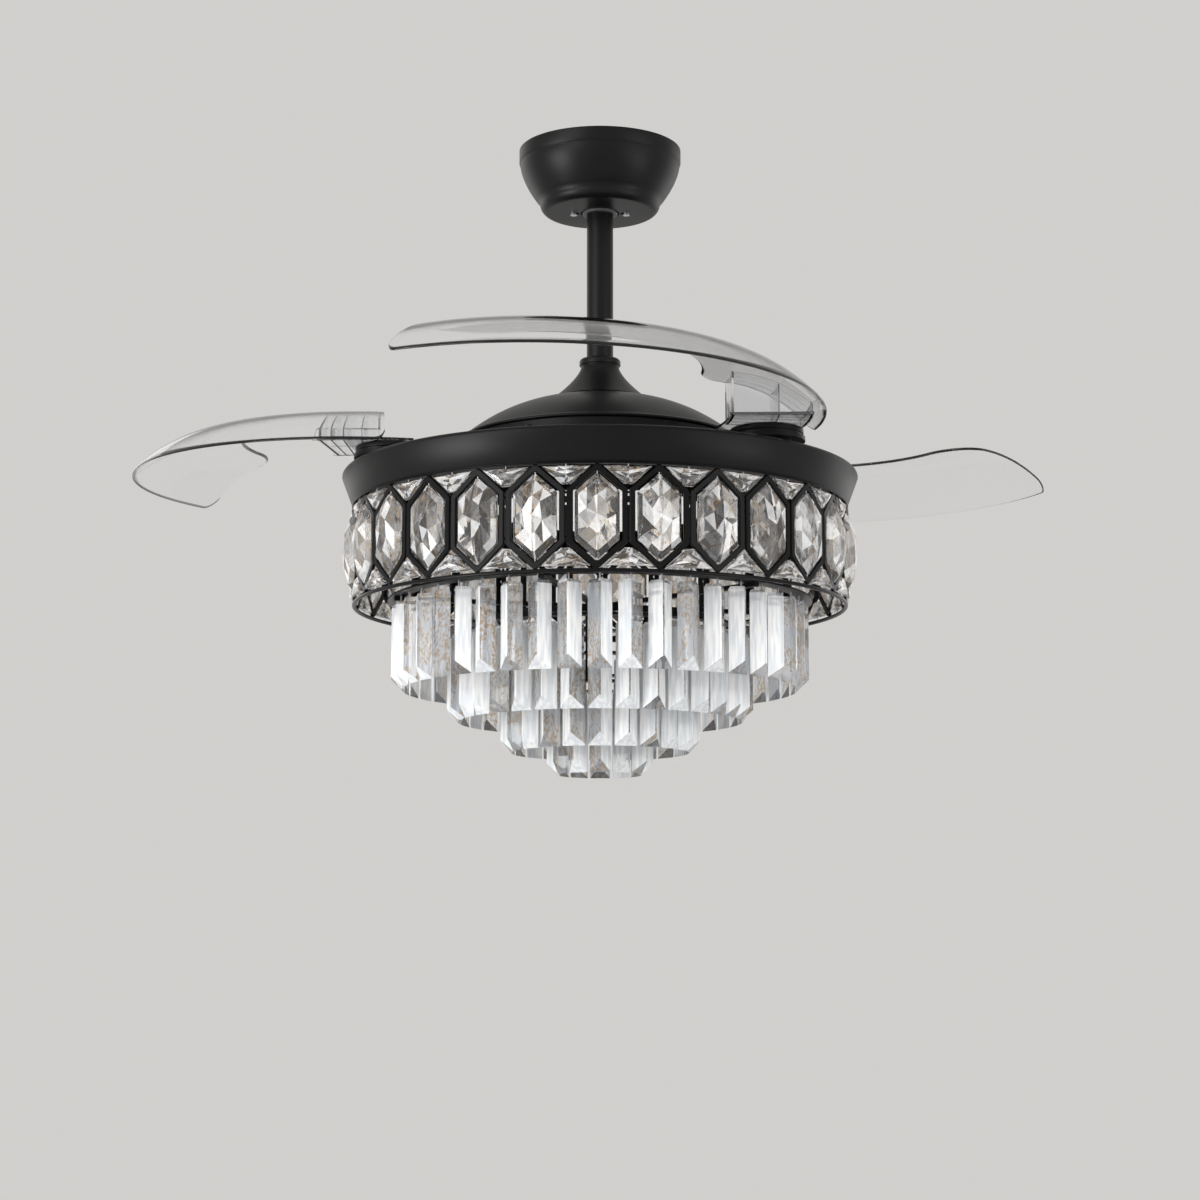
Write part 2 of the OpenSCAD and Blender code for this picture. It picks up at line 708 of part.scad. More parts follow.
// ---- Lamp ----
tray_t = 1.5;
tray_foot_z = plate_z - lamp_h;
board_t = 1.6;
board_z = tray_foot_z - board_t;
diffuser_t = 2;

module lamp_tray() {
    color([0.12, 0.12, 0.13]) difference() {
        at_z(tray_foot_z) cylinder(h = lamp_h, r = lamp_r);
        at_z(tray_foot_z + tray_t) cylinder(h = lamp_h, r = lamp_r - tray_t);
        at_z(tray_foot_z - more) cylinder(h = lamp_h, r = wire_r);
    }
}

module led_driver() {
    size = [90, 36, 20];
    color([0.85, 0.85, 0.84]) translate([-size[0] / 2, shaft_r + 16, plate_z - size[2]])
        cube(size);
}

module led_board() { color([0.93, 0.93, 0.9]) ring(wire_r, lamp_r - 8, board_z, tray_foot_z); }

module lamp_diffuser() {
    top = tray_foot_z;
    outer = [for (a = [0:15:90])
        [lamp_r * 0.35 + lamp_r * 0.65 * cos(a), top - 4 - (diffuser_h - 4) * sin(a)]];
    inner = [for (p = outer) [p[0] - diffuser_t * min(1, (p[0] - 1) / lamp_r * 2),
        p[1] + diffuser_t * (p[1] < top - 4.5 ? 1 : 0)]];
    color([0.93, 0.93, 0.92]) rotate_extrude() polygon(concat([[lamp_r, top]], outer,
        [[0, top - diffuser_h], [0, top - diffuser_h + diffuser_t]], reversed(inner),
        [[lamp_r - diffuser_t, top]]));
}

// ---- Lattice ----
hex_pitch = 360 / hex_n;
pitch_w = 2 * (lattice_r - strip_t / 2) * tan(hex_pitch / 2);
lattice_az = -90.6;                 // one hexagon faces the front, a hair to the left
frame_gap = 1.2;
frame_half = pitch_w / 2 - frame_gap / 2;
hex_slope = (hex_h - hex_side_h) / 2 / frame_half;
strip_top = strip_w * sqrt(1 + hex_slope * hex_slope);
flat_half = 1.5;

// Half of a six-sided outline with its two points cut to short flats
function hex_outline(top, half) = let (cut = top - flat_half * hex_slope,
    side = top - half * hex_slope) [[flat_half, cut], [half, side], [half, -side],
    [flat_half, -cut], [-flat_half, -cut], [-half, -side], [-half, side], [-flat_half, cut]];

hex_top = hex_h / 2 + flat_half * hex_slope;
crystal_top = hex_top - strip_top - crystal_gap;
crystal_half = frame_half - strip_w - crystal_gap;

// Stands a flat outline upright on the lattice, facing outwards
module on_lattice(z, r = lattice_r) {
    round_copies(hex_n, lattice_az) translate([r, 0, z]) rotate([90, 0, 90]) children();
}

module lattice_top_ring() {
    w = lattice_inset + 0.5;
    color(black) ring(lattice_r - w, lattice_r + w, lattice_top_z, drum_foot_z);
}

module lattice_bottom_ring() {
    z = lattice_foot_z;
    color(black) rotate_extrude($fn = 180) polygon([[lattice_r - 1.8, z], [lattice_r + 1.8, z],
        [lattice_r + 2.4, z - 0.8], [lattice_r + 2.4, z - 2.8], [lattice_r + 1.4, z - 3.8],
        [lattice_r - 1.4, z - 3.8], [lattice_r - 2.4, z - 2.8], [lattice_r - 2.4, z - 0.8]]);
}

module hex_lattice() {
    weld_z = hex_side_h / 2 - 4;
    color(black) {
        on_lattice(lattice_mid_z, lattice_r - strip_t / 2) linear_extrude(strip_t) difference() {
            polygon(hex_outline(hex_top, frame_half));
            polygon(hex_outline(hex_top - strip_top, frame_half - strip_w));
        }
        for (z = [-weld_z, weld_z]) round_copies(hex_n, lattice_az + hex_pitch / 2)
            translate([lattice_r + 0.6, 0, lattice_mid_z + z])
                cube([2.4, 2.4, 3.2], center = true);
    }
}

// A cut stone: its outline is a rim of height rim_t, and both faces rise over a sloped
// border to a smaller outline, and from there to one point
module stone(outline, front, back, table = 0.62) {
    n = len(outline);
    function layer(k, z) = [for (p = outline) [p[0] * k, p[1] * k, z]];
    points = concat([[0, 0, -back]], layer(table, -back * 0.7), layer(1, -rim_t / 2),
        layer(1, rim_t / 2), layer(table, front * 0.75), [[0, 0, front]]);
    last = len(points) - 1;
    // The outline runs clockwise seen from the front
    function side(a) = [for (i = [0:n - 1]) let (j = (i + 1) % n)
        each [[a + i, a + j, a + n + j], [a + i, a + n + j, a + n + i]]];
    faces = concat([for (i = [0:n - 1]) [0, 1 + (i + 1) % n, 1 + i]],
        side(1), side(1 + n), side(1 + 2 * n),
        [for (i = [0:n - 1]) [last, 1 + 3 * n + i, 1 + 3 * n + (i + 1) % n]]);
    polyhedron(points, [for (f = faces) [f[0], f[1], f[2]]]);
}

module hex_crystals() {
    color(glass) on_lattice(lattice_mid_z)
        stone(hex_outline(crystal_top, crystal_half), rim_t / 2 + bulge, rim_t / 2 + bulge * 0.5);
}

small_h = 16;                       // height of the small crystals between the hexagons
small_gap = 3.5;                    // gap from their slanted edges to the strips
small_inset = 2;

// Half the free width between two hexagons, y below their tops
function free_half(y) = pitch_w / 2 - y / hex_slope - small_gap;

function small_outline(up) = let (a = free_half(small_inset), b = free_half(small_inset + small_h),
    h = small_h / 2 * up) up > 0 ? [[a, h], [b, -h], [-b, -h], [-a, h]]
    : [[b, -h], [a, h], [-a, h], [-b, -h]];

module small_crystals() {
    color(glass) for (up = [1, -1]) round_copies(hex_n, lattice_az + hex_pitch / 2)
        translate([lattice_r, 0, lattice_mid_z + up * (hex_h / 2 - small_inset - small_h / 2)])
            rotate([90, 0, 90])
                stone(small_outline(up), rim_t / 2 + bulge * 0.3, rim_t / 2 + bulge * 0.3, 0.55);
}

module crystal_pins() {
    wire = 0.6;
    h = crystal_top - flat_half * hex_slope;
    color(steel) for (s = [-1, 1]) {
        round_copies(hex_n, lattice_az) translate([lattice_r, 0,
            lattice_mid_z + s * (h + crystal_gap / 2)])
            cylinder(h = crystal_gap, r = wire, center = true, $fn = 16);
        round_copies(hex_n, lattice_az + hex_pitch / 2) translate([lattice_r, 0,
            lattice_mid_z + s * (hex_h / 2 - small_inset / 2)])
            cylinder(h = small_inset, r = wire, center = true, $fn = 16);
    }
}

// ---- Prism tiers ----
tier_r = [for (k = [tier_share_1, tier_share_2, tier_share_3, tier_share_4]) k * lattice_r];
tier_n = [tier_n_1, tier_n_2, tier_n_3, tier_n_4];
arm_t = 4;
arm_top_z = lattice_foot_z + 2;
arm_z = arm_top_z - arm_t;
hook_l = 5;
tier_ring_t = 2;
ring_in = 12;                       // how far a tier's ring reaches inside its ridges
ring_out = 3;                       // and outside them
tier_ring_z = [arm_top_z, arm_top_z - tier_drop_2, arm_top_z - tier_drop_2 - tier_drop_3,
    arm_top_z - tier_drop_2 - tier_drop_3 - tier_drop_4];
arm_w = 6;
arm_n = 6;
arm_az = 15;
brace_t = 3;
brace_drop = 12;                    // from the arms down to the brace ring
brace_z = arm_z - brace_drop - brace_h;
rod_circle_r = lamp_r + 8;
post_n = [0, 6, 6, 3];
hang_r = [for (r = tier_r) r - prism_d / 2];

// Three flat bars that cross at the axis make the six arms
module tier_frame() {
    color(black) for (k = [1:arm_n / 2]) rotate(arm_az + k * 360 / arm_n)
        translate([-tier_r[0], -arm_w / 2, arm_z]) cube([2 * tier_r[0], arm_w, arm_t]);
}

module brace_ring() {
    color(black) ring(brace_r - brace_t, brace_r, brace_z, brace_z + brace_h);
}

module tier_posts() {
    color(black) {
        round_copies(arm_n / 2, arm_az) translate([rod_circle_r, 0, arm_top_z])
            cylinder(h = plate_z - arm_top_z, r = post_r + 1);
        round_copies(arm_n, arm_az) translate([brace_r - brace_t / 2, 0, brace_z + brace_h])
            cylinder(h = brace_drop, r = brace_t / 2);
        for (i = [1:3]) round_copies(post_n[i], arm_az)
            translate([hang_r[i], 0, tier_ring_z[i] + tier_ring_t])
                cylinder(h = arm_z - tier_ring_z[i] - tier_ring_t, r = post_r);
    }
}

module tier_ring(i) {
    color(black) ring(tier_r[i] - ring_in, tier_r[i] + ring_out, tier_ring_z[i],
        tier_ring_z[i] + tier_ring_t);
}

function prism_top_z(i) = tier_ring_z[i] - hook_l;
function prism_half(i) = min(prism_w / 2,
    (tier_r[i] - prism_d) * tan(180 / tier_n[i]) - 0.4);

module tier_prisms(i) {
    half = prism_half(i);
    back = tier_r[i] - prism_d;
    top = prism_top_z(i);
    foot = top - prism_l;
    points = [[back, half, top], [back, -half, top], [tier_r[i], 0, top],
        [back, half, foot], [back, -half, foot], [tier_r[i], 0, foot + prism_cut]];
    faces = [[0, 1, 2], [3, 5, 4], [0, 3, 4], [0, 4, 1], [1, 4, 5], [1, 5, 2], [2, 5, 3],
        [2, 3, 0]];
    color(glass) round_copies(tier_n[i], -90) polyhedron(points, faces);
}

module prism_hooks() {
    color(steel) for (i = [0:3]) round_copies(tier_n[i], -90)
        translate([hang_r[i], 0, prism_top_z(i)]) cylinder(h = hook_l, r = 0.8, $fn = 16);
}

hanger_bracket();
canopy();
canopy_screws();
canopy_ring();
hanger_ball();
ball_pin();
receiver_box();
downrod();
rod_pin();
bell_collar();
bell_cover();
yoke();
motor_shaft();
stator_core();
stator_windings();
rotor_housing();
rotor_magnets();
motor_bearings();
blade_carrier();
dome_cover();
hinge_pins();
return_springs();
drum_plate();
shaft_nut();
drum_band();
band_screws();
lamp_tray();
led_driver();
led_board();
lamp_diffuser();
lattice_top_ring();
lattice_bottom_ring();
hex_lattice();
hex_crystals();
small_crystals();
crystal_pins();
tier_frame();
brace_ring();
tier_posts();
tier_ring(0);  // tier_ring_1
tier_ring(1);  // tier_ring_2
tier_ring(2);  // tier_ring_3
tier_ring(3);  // tier_ring_4
tier_prisms(0);  // tier_prisms_1
tier_prisms(1);  // tier_prisms_2
tier_prisms(2);  // tier_prisms_3
tier_prisms(3);  // tier_prisms_4
prism_hooks();
blade(0);  // blade_1
blade(1);  // blade_2
blade(2);  // blade_3
blade_bracket(0);  // blade_bracket_1
blade_bracket(1);  // blade_bracket_2
blade_bracket(2);  // blade_bracket_3
hinge_disc(0);  // hinge_disc_1
hinge_disc(1);  // hinge_disc_2
hinge_disc(2);  // hinge_disc_3
bracket_screws(0);  // bracket_screws_1
bracket_screws(1);  // bracket_screws_2
bracket_screws(2);  // bracket_screws_3
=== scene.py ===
"""Retractable blade ceiling fan with a crystal drum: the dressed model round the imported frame.

Metres, in the frame's own axes: the ceiling is z = 0, the fan's axis is Z, +X is to the right of
the photograph and +Y away from it.
"""
import json
import math

import bmesh
import bpy
import numpy as np
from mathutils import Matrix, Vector

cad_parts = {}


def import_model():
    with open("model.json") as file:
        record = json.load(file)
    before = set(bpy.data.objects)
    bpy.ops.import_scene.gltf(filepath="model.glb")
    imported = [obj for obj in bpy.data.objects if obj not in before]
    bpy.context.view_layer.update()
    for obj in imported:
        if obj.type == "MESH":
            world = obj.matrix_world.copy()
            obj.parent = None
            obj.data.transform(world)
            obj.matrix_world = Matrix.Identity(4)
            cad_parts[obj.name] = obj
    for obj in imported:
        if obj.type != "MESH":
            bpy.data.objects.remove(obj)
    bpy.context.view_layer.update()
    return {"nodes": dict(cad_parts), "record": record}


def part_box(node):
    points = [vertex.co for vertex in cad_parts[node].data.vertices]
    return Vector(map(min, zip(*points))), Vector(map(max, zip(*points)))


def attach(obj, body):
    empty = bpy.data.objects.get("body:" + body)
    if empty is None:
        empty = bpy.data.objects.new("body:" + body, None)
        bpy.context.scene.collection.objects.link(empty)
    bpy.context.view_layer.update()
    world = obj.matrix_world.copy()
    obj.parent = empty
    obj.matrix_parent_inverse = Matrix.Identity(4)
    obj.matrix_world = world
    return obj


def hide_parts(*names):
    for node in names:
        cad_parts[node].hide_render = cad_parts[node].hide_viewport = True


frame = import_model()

MM = 0.001

# ---------------------------------------------------------------- sizes taken from the frame


def low(node):
    """Lowest corner of a node's box."""
    return np.array(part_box(node)[0])


def high(node):
    """Highest corner of a node's box."""
    return np.array(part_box(node)[1])


SHEET = 1.5 * MM                        # sheet of the canopy, bell, dome and drum
NECK_R = 18.6 * MM                      # the bell's neck
ROD_FIT = 0.05 * MM                     # play between the rod and the rings round it
DRUM_R = 250 * MM                       # the band's top edge, and the folded blades
CARRIER_TOP = low("dome_cover")[2]
DISC_TOP = high("hinge_disc_1")[2]

LATTICE_TOP = low("lattice_top_ring")[2]
LATTICE_FOOT = high("lattice_bottom_ring")[2]
LATTICE_MID = (LATTICE_TOP + LATTICE_FOOT) / 2
LATTICE_R = 237 * MM                    # middle of the hexagons' strips
HEX_N = 27
HEX_PITCH = 2 * math.pi / HEX_N
HEX_AZ = math.radians(-90.6)            # the hexagon at the front
HEX_H = LATTICE_TOP - LATTICE_FOOT
HEX_SIDE_H = 45 * MM                    # a hexagon's upright side
STRIP_W = 5 * MM                        # a hexagon's strip from the front
STRIP_T = 3 * MM                        # and its depth
FRAME_GAP = 1.2 * MM                    # between neighbouring hexagons
PITCH_W = 2 * (LATTICE_R - STRIP_T / 2) * math.tan(HEX_PITCH / 2)
FRAME_HALF = (PITCH_W - FRAME_GAP) / 2
HEX_SLOPE = (HEX_H - HEX_SIDE_H) / 2 / FRAME_HALF
FLAT_HALF = 1.5 * MM                    # half the flat at a hexagon's cut tip
HEX_TOP = HEX_H / 2 + FLAT_HALF * HEX_SLOPE                 # height of the tip before its cut
STRIP_TOP = STRIP_W * math.sqrt(1 + HEX_SLOPE ** 2)         # a sloping strip's upright height
CRYSTAL_GAP = 2.2 * MM                  # between a hexagon and its crystal
RIM = 3 * MM                            # a crystal's thickness at its edge
BULGE = 10.8 * MM                       # how far a tall crystal's front stands out

HINGE_R = 208 * MM
HINGE_AZ = np.radians([197.5, 317.5, 77.5])                 # left, front and rear
OPENED = np.radians([81.0, 58.0, 77.0])                     # each blade's swing from folded
BLADE_BODY = ["left_blade", "front_blade", "rear_blade"]
BLADE_OUT = DRUM_R
BLADE_IN = 138 * MM
BLADE_T = 2.5 * MM
BLADE_CROWN = 42 * MM                   # from the outer edge up to the inner edge
BLADE_BOW = 2.8                         # power of the fall towards the outer edge
BLADE_START = math.radians(2)           # the root's end, from the hinge
BLADE_ARC = math.radians(135)
BLADE_RISE = 8 * MM                     # how much the tip lies above the root
BLADE_EDGE = CARRIER_TOP + 11.9 * MM    # height of the outer edge
BLADE_MID = BLADE_START + BLADE_ARC / 2
BLADE_TILT = math.asin(BLADE_RISE / 2 / (BLADE_OUT * math.sin(BLADE_ARC / 2)))
ALONG_R = 200 * MM                      # where distances along a blade are measured
UNDER_BLADE = 0.1 * MM                  # between a blade and its bracket's walls
OUTER_LEN, INNER_LEN = 1.2, 0.7         # the edges' lengths as shares of the length there

TIER_R = np.array([0.852, 0.624, 0.409, 0.219]) * LATTICE_R
TIER_N = [44, 34, 22, 12]
PRISM_W = 23.5 * MM
PRISM_D = 12 * MM                       # from a prism's ridge to its back
PRISM_CUT = 12 * MM                     # rise of the sloping cut at a prism's foot

# Shares of clear, painted-highlight and painted-shade facets: on the crystals, and on the prisms
# tier by tier
CRYSTAL_SHARES = (0.42, 0.24, 0.34)
PRISM_SHARES = [(0.44, 0.34, 0.22), (0.42, 0.48, 0.10), (0.42, 0.48, 0.10), (0.45, 0.35, 0.20)]

# ---------------------------------------------------------------- meshes


def new_piece(name, verts, faces, material, body, smooth=True, sharp=32):
    """Puts points and faces into a mesh that rides a body. The mesh has one material or a list
    of them, and is smooth across edges flatter than `sharp` degrees."""
    mesh = bpy.data.meshes.new(name)
    mesh.from_pydata(np.asarray(verts, float).tolist(), [], [list(map(int, f)) for f in faces])
    mesh.validate()
    mesh.polygons.foreach_set("use_smooth", np.full(len(mesh.polygons), smooth))
    if smooth:
        mesh.set_sharp_from_angle(angle=math.radians(sharp))
    mesh.update()
    piece = bpy.data.objects.new(name, mesh)
    bpy.context.scene.collection.objects.link(piece)
    for m in material if isinstance(material, (list, tuple)) else [material]:
        mesh.materials.append(m)
    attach(piece, body)
    return piece


def grid_quads(rows, cols, wrap_rows=False, wrap_cols=False):
    """Quads of a rows x cols grid of points, joined round where a direction wraps."""
    i = np.arange(rows if wrap_rows else rows - 1)[:, None]
    j = np.arange(cols if wrap_cols else cols - 1)[None, :]
    i2, j2 = (i + 1) % rows, (j + 1) % cols
    quads = np.stack([i * cols + j, i * cols + j2, i2 * cols + j2, i2 * cols + j], -1)
    return quads.reshape(-1, 4)


def joined(parts):
    """Several sets of points and faces as one set."""
    verts, faces, start = [], [], 0
    for points, polygons in parts:
        verts.append(points)
        faces += [tuple(v + start for v in f) for f in polygons]
        start += len(points)
    return np.concatenate(verts), faces


def orient_outwards(piece):
    """Recalculates a closed mesh's normals to face outwards."""
    bm = bmesh.new()
    bm.from_mesh(piece.data)
    bmesh.ops.recalc_face_normals(bm, faces=bm.faces)
    bm.to_mesh(piece.data)
    bm.free()


def tube_faces(rows, cols):
    """Faces of a section of `cols` points carried along `rows` places, closed at both ends."""
    last = (rows - 1) * cols
    return [tuple(f) for f in grid_quads(rows, cols, False, True)] + [
        tuple(range(cols - 1, -1, -1)), tuple(range(last, last + cols))]


def filleted(points, radius, steps=4):
    """A closed outline with each corner replaced by a short arc that starts and ends at most
    `radius` from it: a quadratic curve through the corner's two neighbours."""
    pts = np.asarray(points, float)
    out = []
    for k in range(len(pts)):
        a, b, c = pts[k - 1], pts[k], pts[(k + 1) % len(pts)]
        la, lc = np.linalg.norm(a - b), np.linalg.norm(c - b)
        ra, rc = min(radius, la * 0.45), min(radius, lc * 0.45)
        p, q = b + (a - b) / la * ra, b + (c - b) / lc * rc
        t = np.linspace(0, 1, steps)[:, None]
        out.append((1 - t) ** 2 * p + 2 * t * (1 - t) * b + t ** 2 * q)
    return np.concatenate(out)


def eased_rectangle(r0, r1, z0, z1, edge):
    """The section of a ring, with eased corners."""
    return filleted([(r0, z0), (r1, z0), (r1, z1), (r0, z1)], edge)


def counter_clockwise(outline):
    """The outline with its inside on the left."""
    x, y = outline[:, 0], outline[:, 1]
    area = np.sum(x * np.roll(y, -1) - np.roll(x, -1) * y)
    return outline if area > 0 else outline[::-1]


def lathe(name, outline, material, body, centre=(0, 0), turns=160, sharp=32):
    """A closed outline of (radius, height) carried once round a vertical axis at `centre`."""
    prof = counter_clockwise(np.asarray(outline, float))
    a = np.linspace(0, 2 * math.pi, turns, endpoint=False)[:, None]
    verts = np.stack([centre[0] + prof[None, :, 0] * np.cos(a),
                      centre[1] + prof[None, :, 0] * np.sin(a),
                      prof[None, :, 1] + 0 * a], -1).reshape(-1, 3)
    faces = grid_quads(turns, len(prof), True, True)
    return new_piece(name, verts, faces, material, body, sharp=sharp)


def turned(points, angle):
    """Points turned about Z by an angle, or by an array of angles that adds a first axis."""
    c, s = np.cos(angle), np.sin(angle)
    x, y, z = points[..., 0], points[..., 1], points[..., 2]
    if np.ndim(angle):
        c, s = c[:, None], s[:, None]
    return np.stack([x * c - y * s, x * s + y * c, z + 0 * c], -1)


def ring_of(shape, faces, count, phase):
    """`count` copies of a shape spread evenly round Z, as one set of points and faces."""
    az = phase + np.arange(count) * 2 * math.pi / count
    verts = turned(shape[None], az).reshape(-1, 3)
    n = len(shape)
    return verts, [tuple(v + k * n for v in f) for k in range(count) for f in faces]


# ---------------------------------------------------------------- materials


class Value:
    """A shader socket that works in expressions: each operator adds a Math node."""

    def __init__(self, shade, socket):
        self.shade, self.socket = shade, socket

    def math(self, operation, *others):
        """A Math node on this value and others."""
        return self.shade.node("ShaderNodeMath", {"operation": operation}, [self, *others])

    def __add__(self, other): return self.math("ADD", other)
    def __mul__(self, other): return self.math("MULTIPLY", other)
    def __sub__(self, other): return self.math("SUBTRACT", other)
    def __rsub__(self, other): return self.math("MULTIPLY_ADD", -1.0, other)
    __radd__ = __add__
    __rmul__ = __mul__

    def above(self, edge):
        """1 where the value is above an edge, else 0."""
        return self.math("GREATER_THAN", edge)


class Shade:
    """The nodes of one material or world, with one method that adds any of them."""

    def __init__(self, owner, output="ShaderNodeOutputMaterial"):
        self.owner = owner
        owner.use_nodes = True
        self.tree = owner.node_tree
        self.tree.nodes.clear()
        self.output = self.tree.nodes.new(output)

    def node(self, kind, settings=None, inputs=(), out=0):
        """Adds a node: its settings first, then the values or links of its sockets."""
        made = self.tree.nodes.new(kind)
        for key, value in (settings or {}).items():
            setattr(made, key, value)
        pairs = inputs.items() if isinstance(inputs, dict) else enumerate(inputs)
        for key, value in pairs:
            self.plug(made.inputs[key], value)
        return Value(self, made.outputs[out])

    def plug(self, socket, value):
        """Links a value to a socket, or sets the socket to a constant."""
        if isinstance(value, Value):
            self.tree.links.new(value.socket, socket)
        else:
            socket.default_value = value

    def place(self, scale=(1, 1, 1)):
        """Object coordinates, stretched by a scale."""
        coords = self.node("ShaderNodeTexCoord", out="Object")
        return self.node("ShaderNodeMapping", {}, {"Vector": coords, "Scale": scale})

    def noise(self, scale, detail=2.0, stretch=(1, 1, 1)):
        """Soft noise, around a half; a stretch below 1 draws it out along that axis."""
        return self.node("ShaderNodeTexNoise", {}, {
            "Vector": self.place(stretch), "Scale": scale, "Detail": detail})

    def bands(self, scale, distortion=0.0):
        """Level bands stacked along Z."""
        return self.node("ShaderNodeTexWave", {"wave_type": "BANDS", "bands_direction": "Z"}, {
            "Vector": self.place(), "Scale": scale, "Distortion": distortion})

    def mix(self, factor, a, b):
        """A mix of two colours."""
        return self.node("ShaderNodeMix", {"data_type": "RGBA"}, {0: factor, 6: a, 7: b}, out=2)

    def bump(self, height, strength, distance):
        """A normal that follows a height."""
        return self.node("ShaderNodeBump", {}, {
            "Height": height, "Strength": strength, "Distance": distance})

    def principled(self, **sockets):
        """The Principled shader, its sockets named with underscores for spaces."""
        return self.node("ShaderNodeBsdfPrincipled", {}, {
            key.replace("_", " "): value for key, value in sockets.items()})

    def finish(self, surface):
        """Gives the material or world its surface."""
        self.tree.links.new(surface.socket, self.output.inputs["Surface"])
        return self.owner


def nodes_of(name):
    """A new material's nodes."""
    return Shade(bpy.data.materials.new(name))


def grey(level):
    """A grey with a trace of blue."""
    return (level, level, level * 1.02, 1)


def darker(colour, share):
    """A colour times a share, with full alpha."""
    return (*[c * share for c in colour], 1)


def powder_coat(name, level, rough, texture):
    """Satin black paint: an even colour with faint cloudiness and a fine orange peel, whose
    strength is `texture`."""
    s = nodes_of(name)
    cloud = s.noise(14.0, 3.0)
    peel = s.noise(1400.0, 2.0)
    colour = s.mix(cloud, grey(level * 0.8), grey(level * 1.25))
    return s.finish(s.principled(
        Base_Color=colour, Roughness=cloud * 0.12 + (rough - 0.06),
        Normal=s.bump(peel, texture, 0.0002), Specular_IOR_Level=0.17))


def metal(name, colour, rough, brushed=(1, 1, 12)):
    """Bare or plated metal with drawn streaks in its roughness."""
    s = nodes_of(name)
    streak = s.noise(220.0, 3.0, brushed)
    dull = s.mix(streak, darker(colour, 0.82), (*colour, 1))
    return s.finish(s.principled(
        Base_Color=dull, Metallic=1.0, Roughness=streak * 0.2 + (rough - 0.1),
        Normal=s.bump(streak, 0.08, 0.0002)))


def plastic(name, colour, rough, grain=900.0):
    """Moulded plastic with a fine spark-eroded grain."""
    s = nodes_of(name)
    fine = s.noise(grain, 2.0)
    tone = s.mix(s.noise(30.0), darker(colour, 0.93), (*colour, 1))
    return s.finish(s.principled(
        Base_Color=tone, Roughness=fine * 0.1 + (rough - 0.05),
        Normal=s.bump(fine, 0.1, 0.0001)))


def wound_copper():
    """Enamelled wire: close turns that run round each coil as a fine wave."""
    s = nodes_of("copper")
    wave = s.bands(380.0, 0.4)
    colour = s.mix(wave, (0.30, 0.10, 0.035, 1), (0.78, 0.36, 0.16, 1))
    return s.finish(s.principled(Base_Color=colour, Metallic=0.9, Roughness=0.35,
                                 Normal=s.bump(wave, 0.5, 0.0004)))


def stacked_sheets():
    """Thin steel sheets stacked along Z."""
    s = nodes_of("lamination")
    wave = s.bands(330.0)
    colour = s.mix(wave, (0.16, 0.16, 0.17, 1), (0.42, 0.43, 0.45, 1))
    return s.finish(s.principled(Base_Color=colour, Metallic=0.9, Roughness=0.45))


def cut_glass(name, clear, tone, reflected_tint, streaks, flecks):
    """Cut crystal: by the share `clear` it lets light through, and the rest is a diffuse `tone`
    that stands in for light: white or pale as a painted highlight, grey or blue as painted shade.
    It has faint streaks of painted reflection, the tone times a second tint, drawn out along Z the
    more the lower `streaks` is, as if one facet showed in the next, and clusters of fine amber
    flecks, more with a lower `flecks`."""
    s = nodes_of(name)
    painted_reflection = tuple(c * k for c, k in zip(tone, reflected_tint))
    # painted reflection: streaks in the tone times the second tint
    streak = (s.noise(330.0, 1.0, (1, 1, streaks)) - 0.42) * 6.0
    tint = s.mix(streak, (*tone, 1), (*painted_reflection, 1))
    cluster = s.noise(95.0, 1.0, (1, 1, 0.35)).above(0.47)
    amber = s.noise(560.0, 3.0, (1, 1, 0.5)).above(flecks) * cluster
    tint = s.mix(amber * 0.8, tint, (0.56, 0.36, 0.16, 1))
    return s.finish(s.principled(
        Base_Color=tint, Roughness=s.noise(60.0) * 0.04, IOR=1.5, Transmission_Weight=clear))


def clear_plastic(name, colour, rough):
    """Clear polished plastic with faint clouds of haze and a little waviness."""
    s = nodes_of(name)
    haze = s.noise(9.0, 3.0)
    wavy = s.noise(22.0, 1.0)
    tone = s.mix(haze, darker(colour, 0.97), (*colour, 1))
    return s.finish(s.principled(
        Base_Color=tone, Roughness=haze * 0.04 + rough, IOR=1.49, Transmission_Weight=1.0,
        Normal=s.bump(wavy, 0.05, 0.001)))


def opal_cover():
    """Milky diffuser, slightly uneven and faintly lit."""
    s = nodes_of("opal")
    cloud = s.noise(25.0)
    tone = s.mix(cloud, (0.84, 0.83, 0.80, 1), (0.92, 0.91, 0.89, 1))
    return s.finish(s.principled(Base_Color=tone, Roughness=cloud * 0.1 + 0.35,
                                 Normal=s.bump(s.noise(700.0), 0.05, 0.0001),
                                 Emission_Color=tone, Emission_Strength=0.6))


BLACK = powder_coat("black_metal", 0.003, 0.38, 0.10)
LATTICE_BLACK = powder_coat("lattice_black", 0.002, 0.30, 0.04)
STEEL = metal("steel", (0.62, 0.63, 0.65), 0.32)
# Facet finishes stand in for light: the bright ones, white or pale, are painted highlights, the
# shaded ones, grey or blue, are painted shade, and the warm and blue greys paint faint
# reflections.
CLEAR, PAINTED_HIGHLIGHT_TONE, PAINTED_SHADE_BLUE = (1, 1, 1), (0.93, 0.93, 0.92), (0.86, 0.88, 0.92)
PAINTED_SHADE_GREY = (0.4, 0.4, 0.41)
CRYSTAL_REFLECTION_TINT, PRISM_REFLECTION_TINT = (0.86, 0.86, 0.86), (0.78, 0.815, 0.86)
CRYSTAL = cut_glass("crystal", 0.95, CLEAR, CRYSTAL_REFLECTION_TINT, 0.5, 0.57)
CRYSTALS = [CRYSTAL, cut_glass("crystal_painted_highlight", 0.72, CLEAR, CRYSTAL_REFLECTION_TINT, 0.5, 0.64),
            cut_glass("crystal_painted_shade", 0.94, PAINTED_SHADE_GREY, CRYSTAL_REFLECTION_TINT, 0.5, 0.53)]
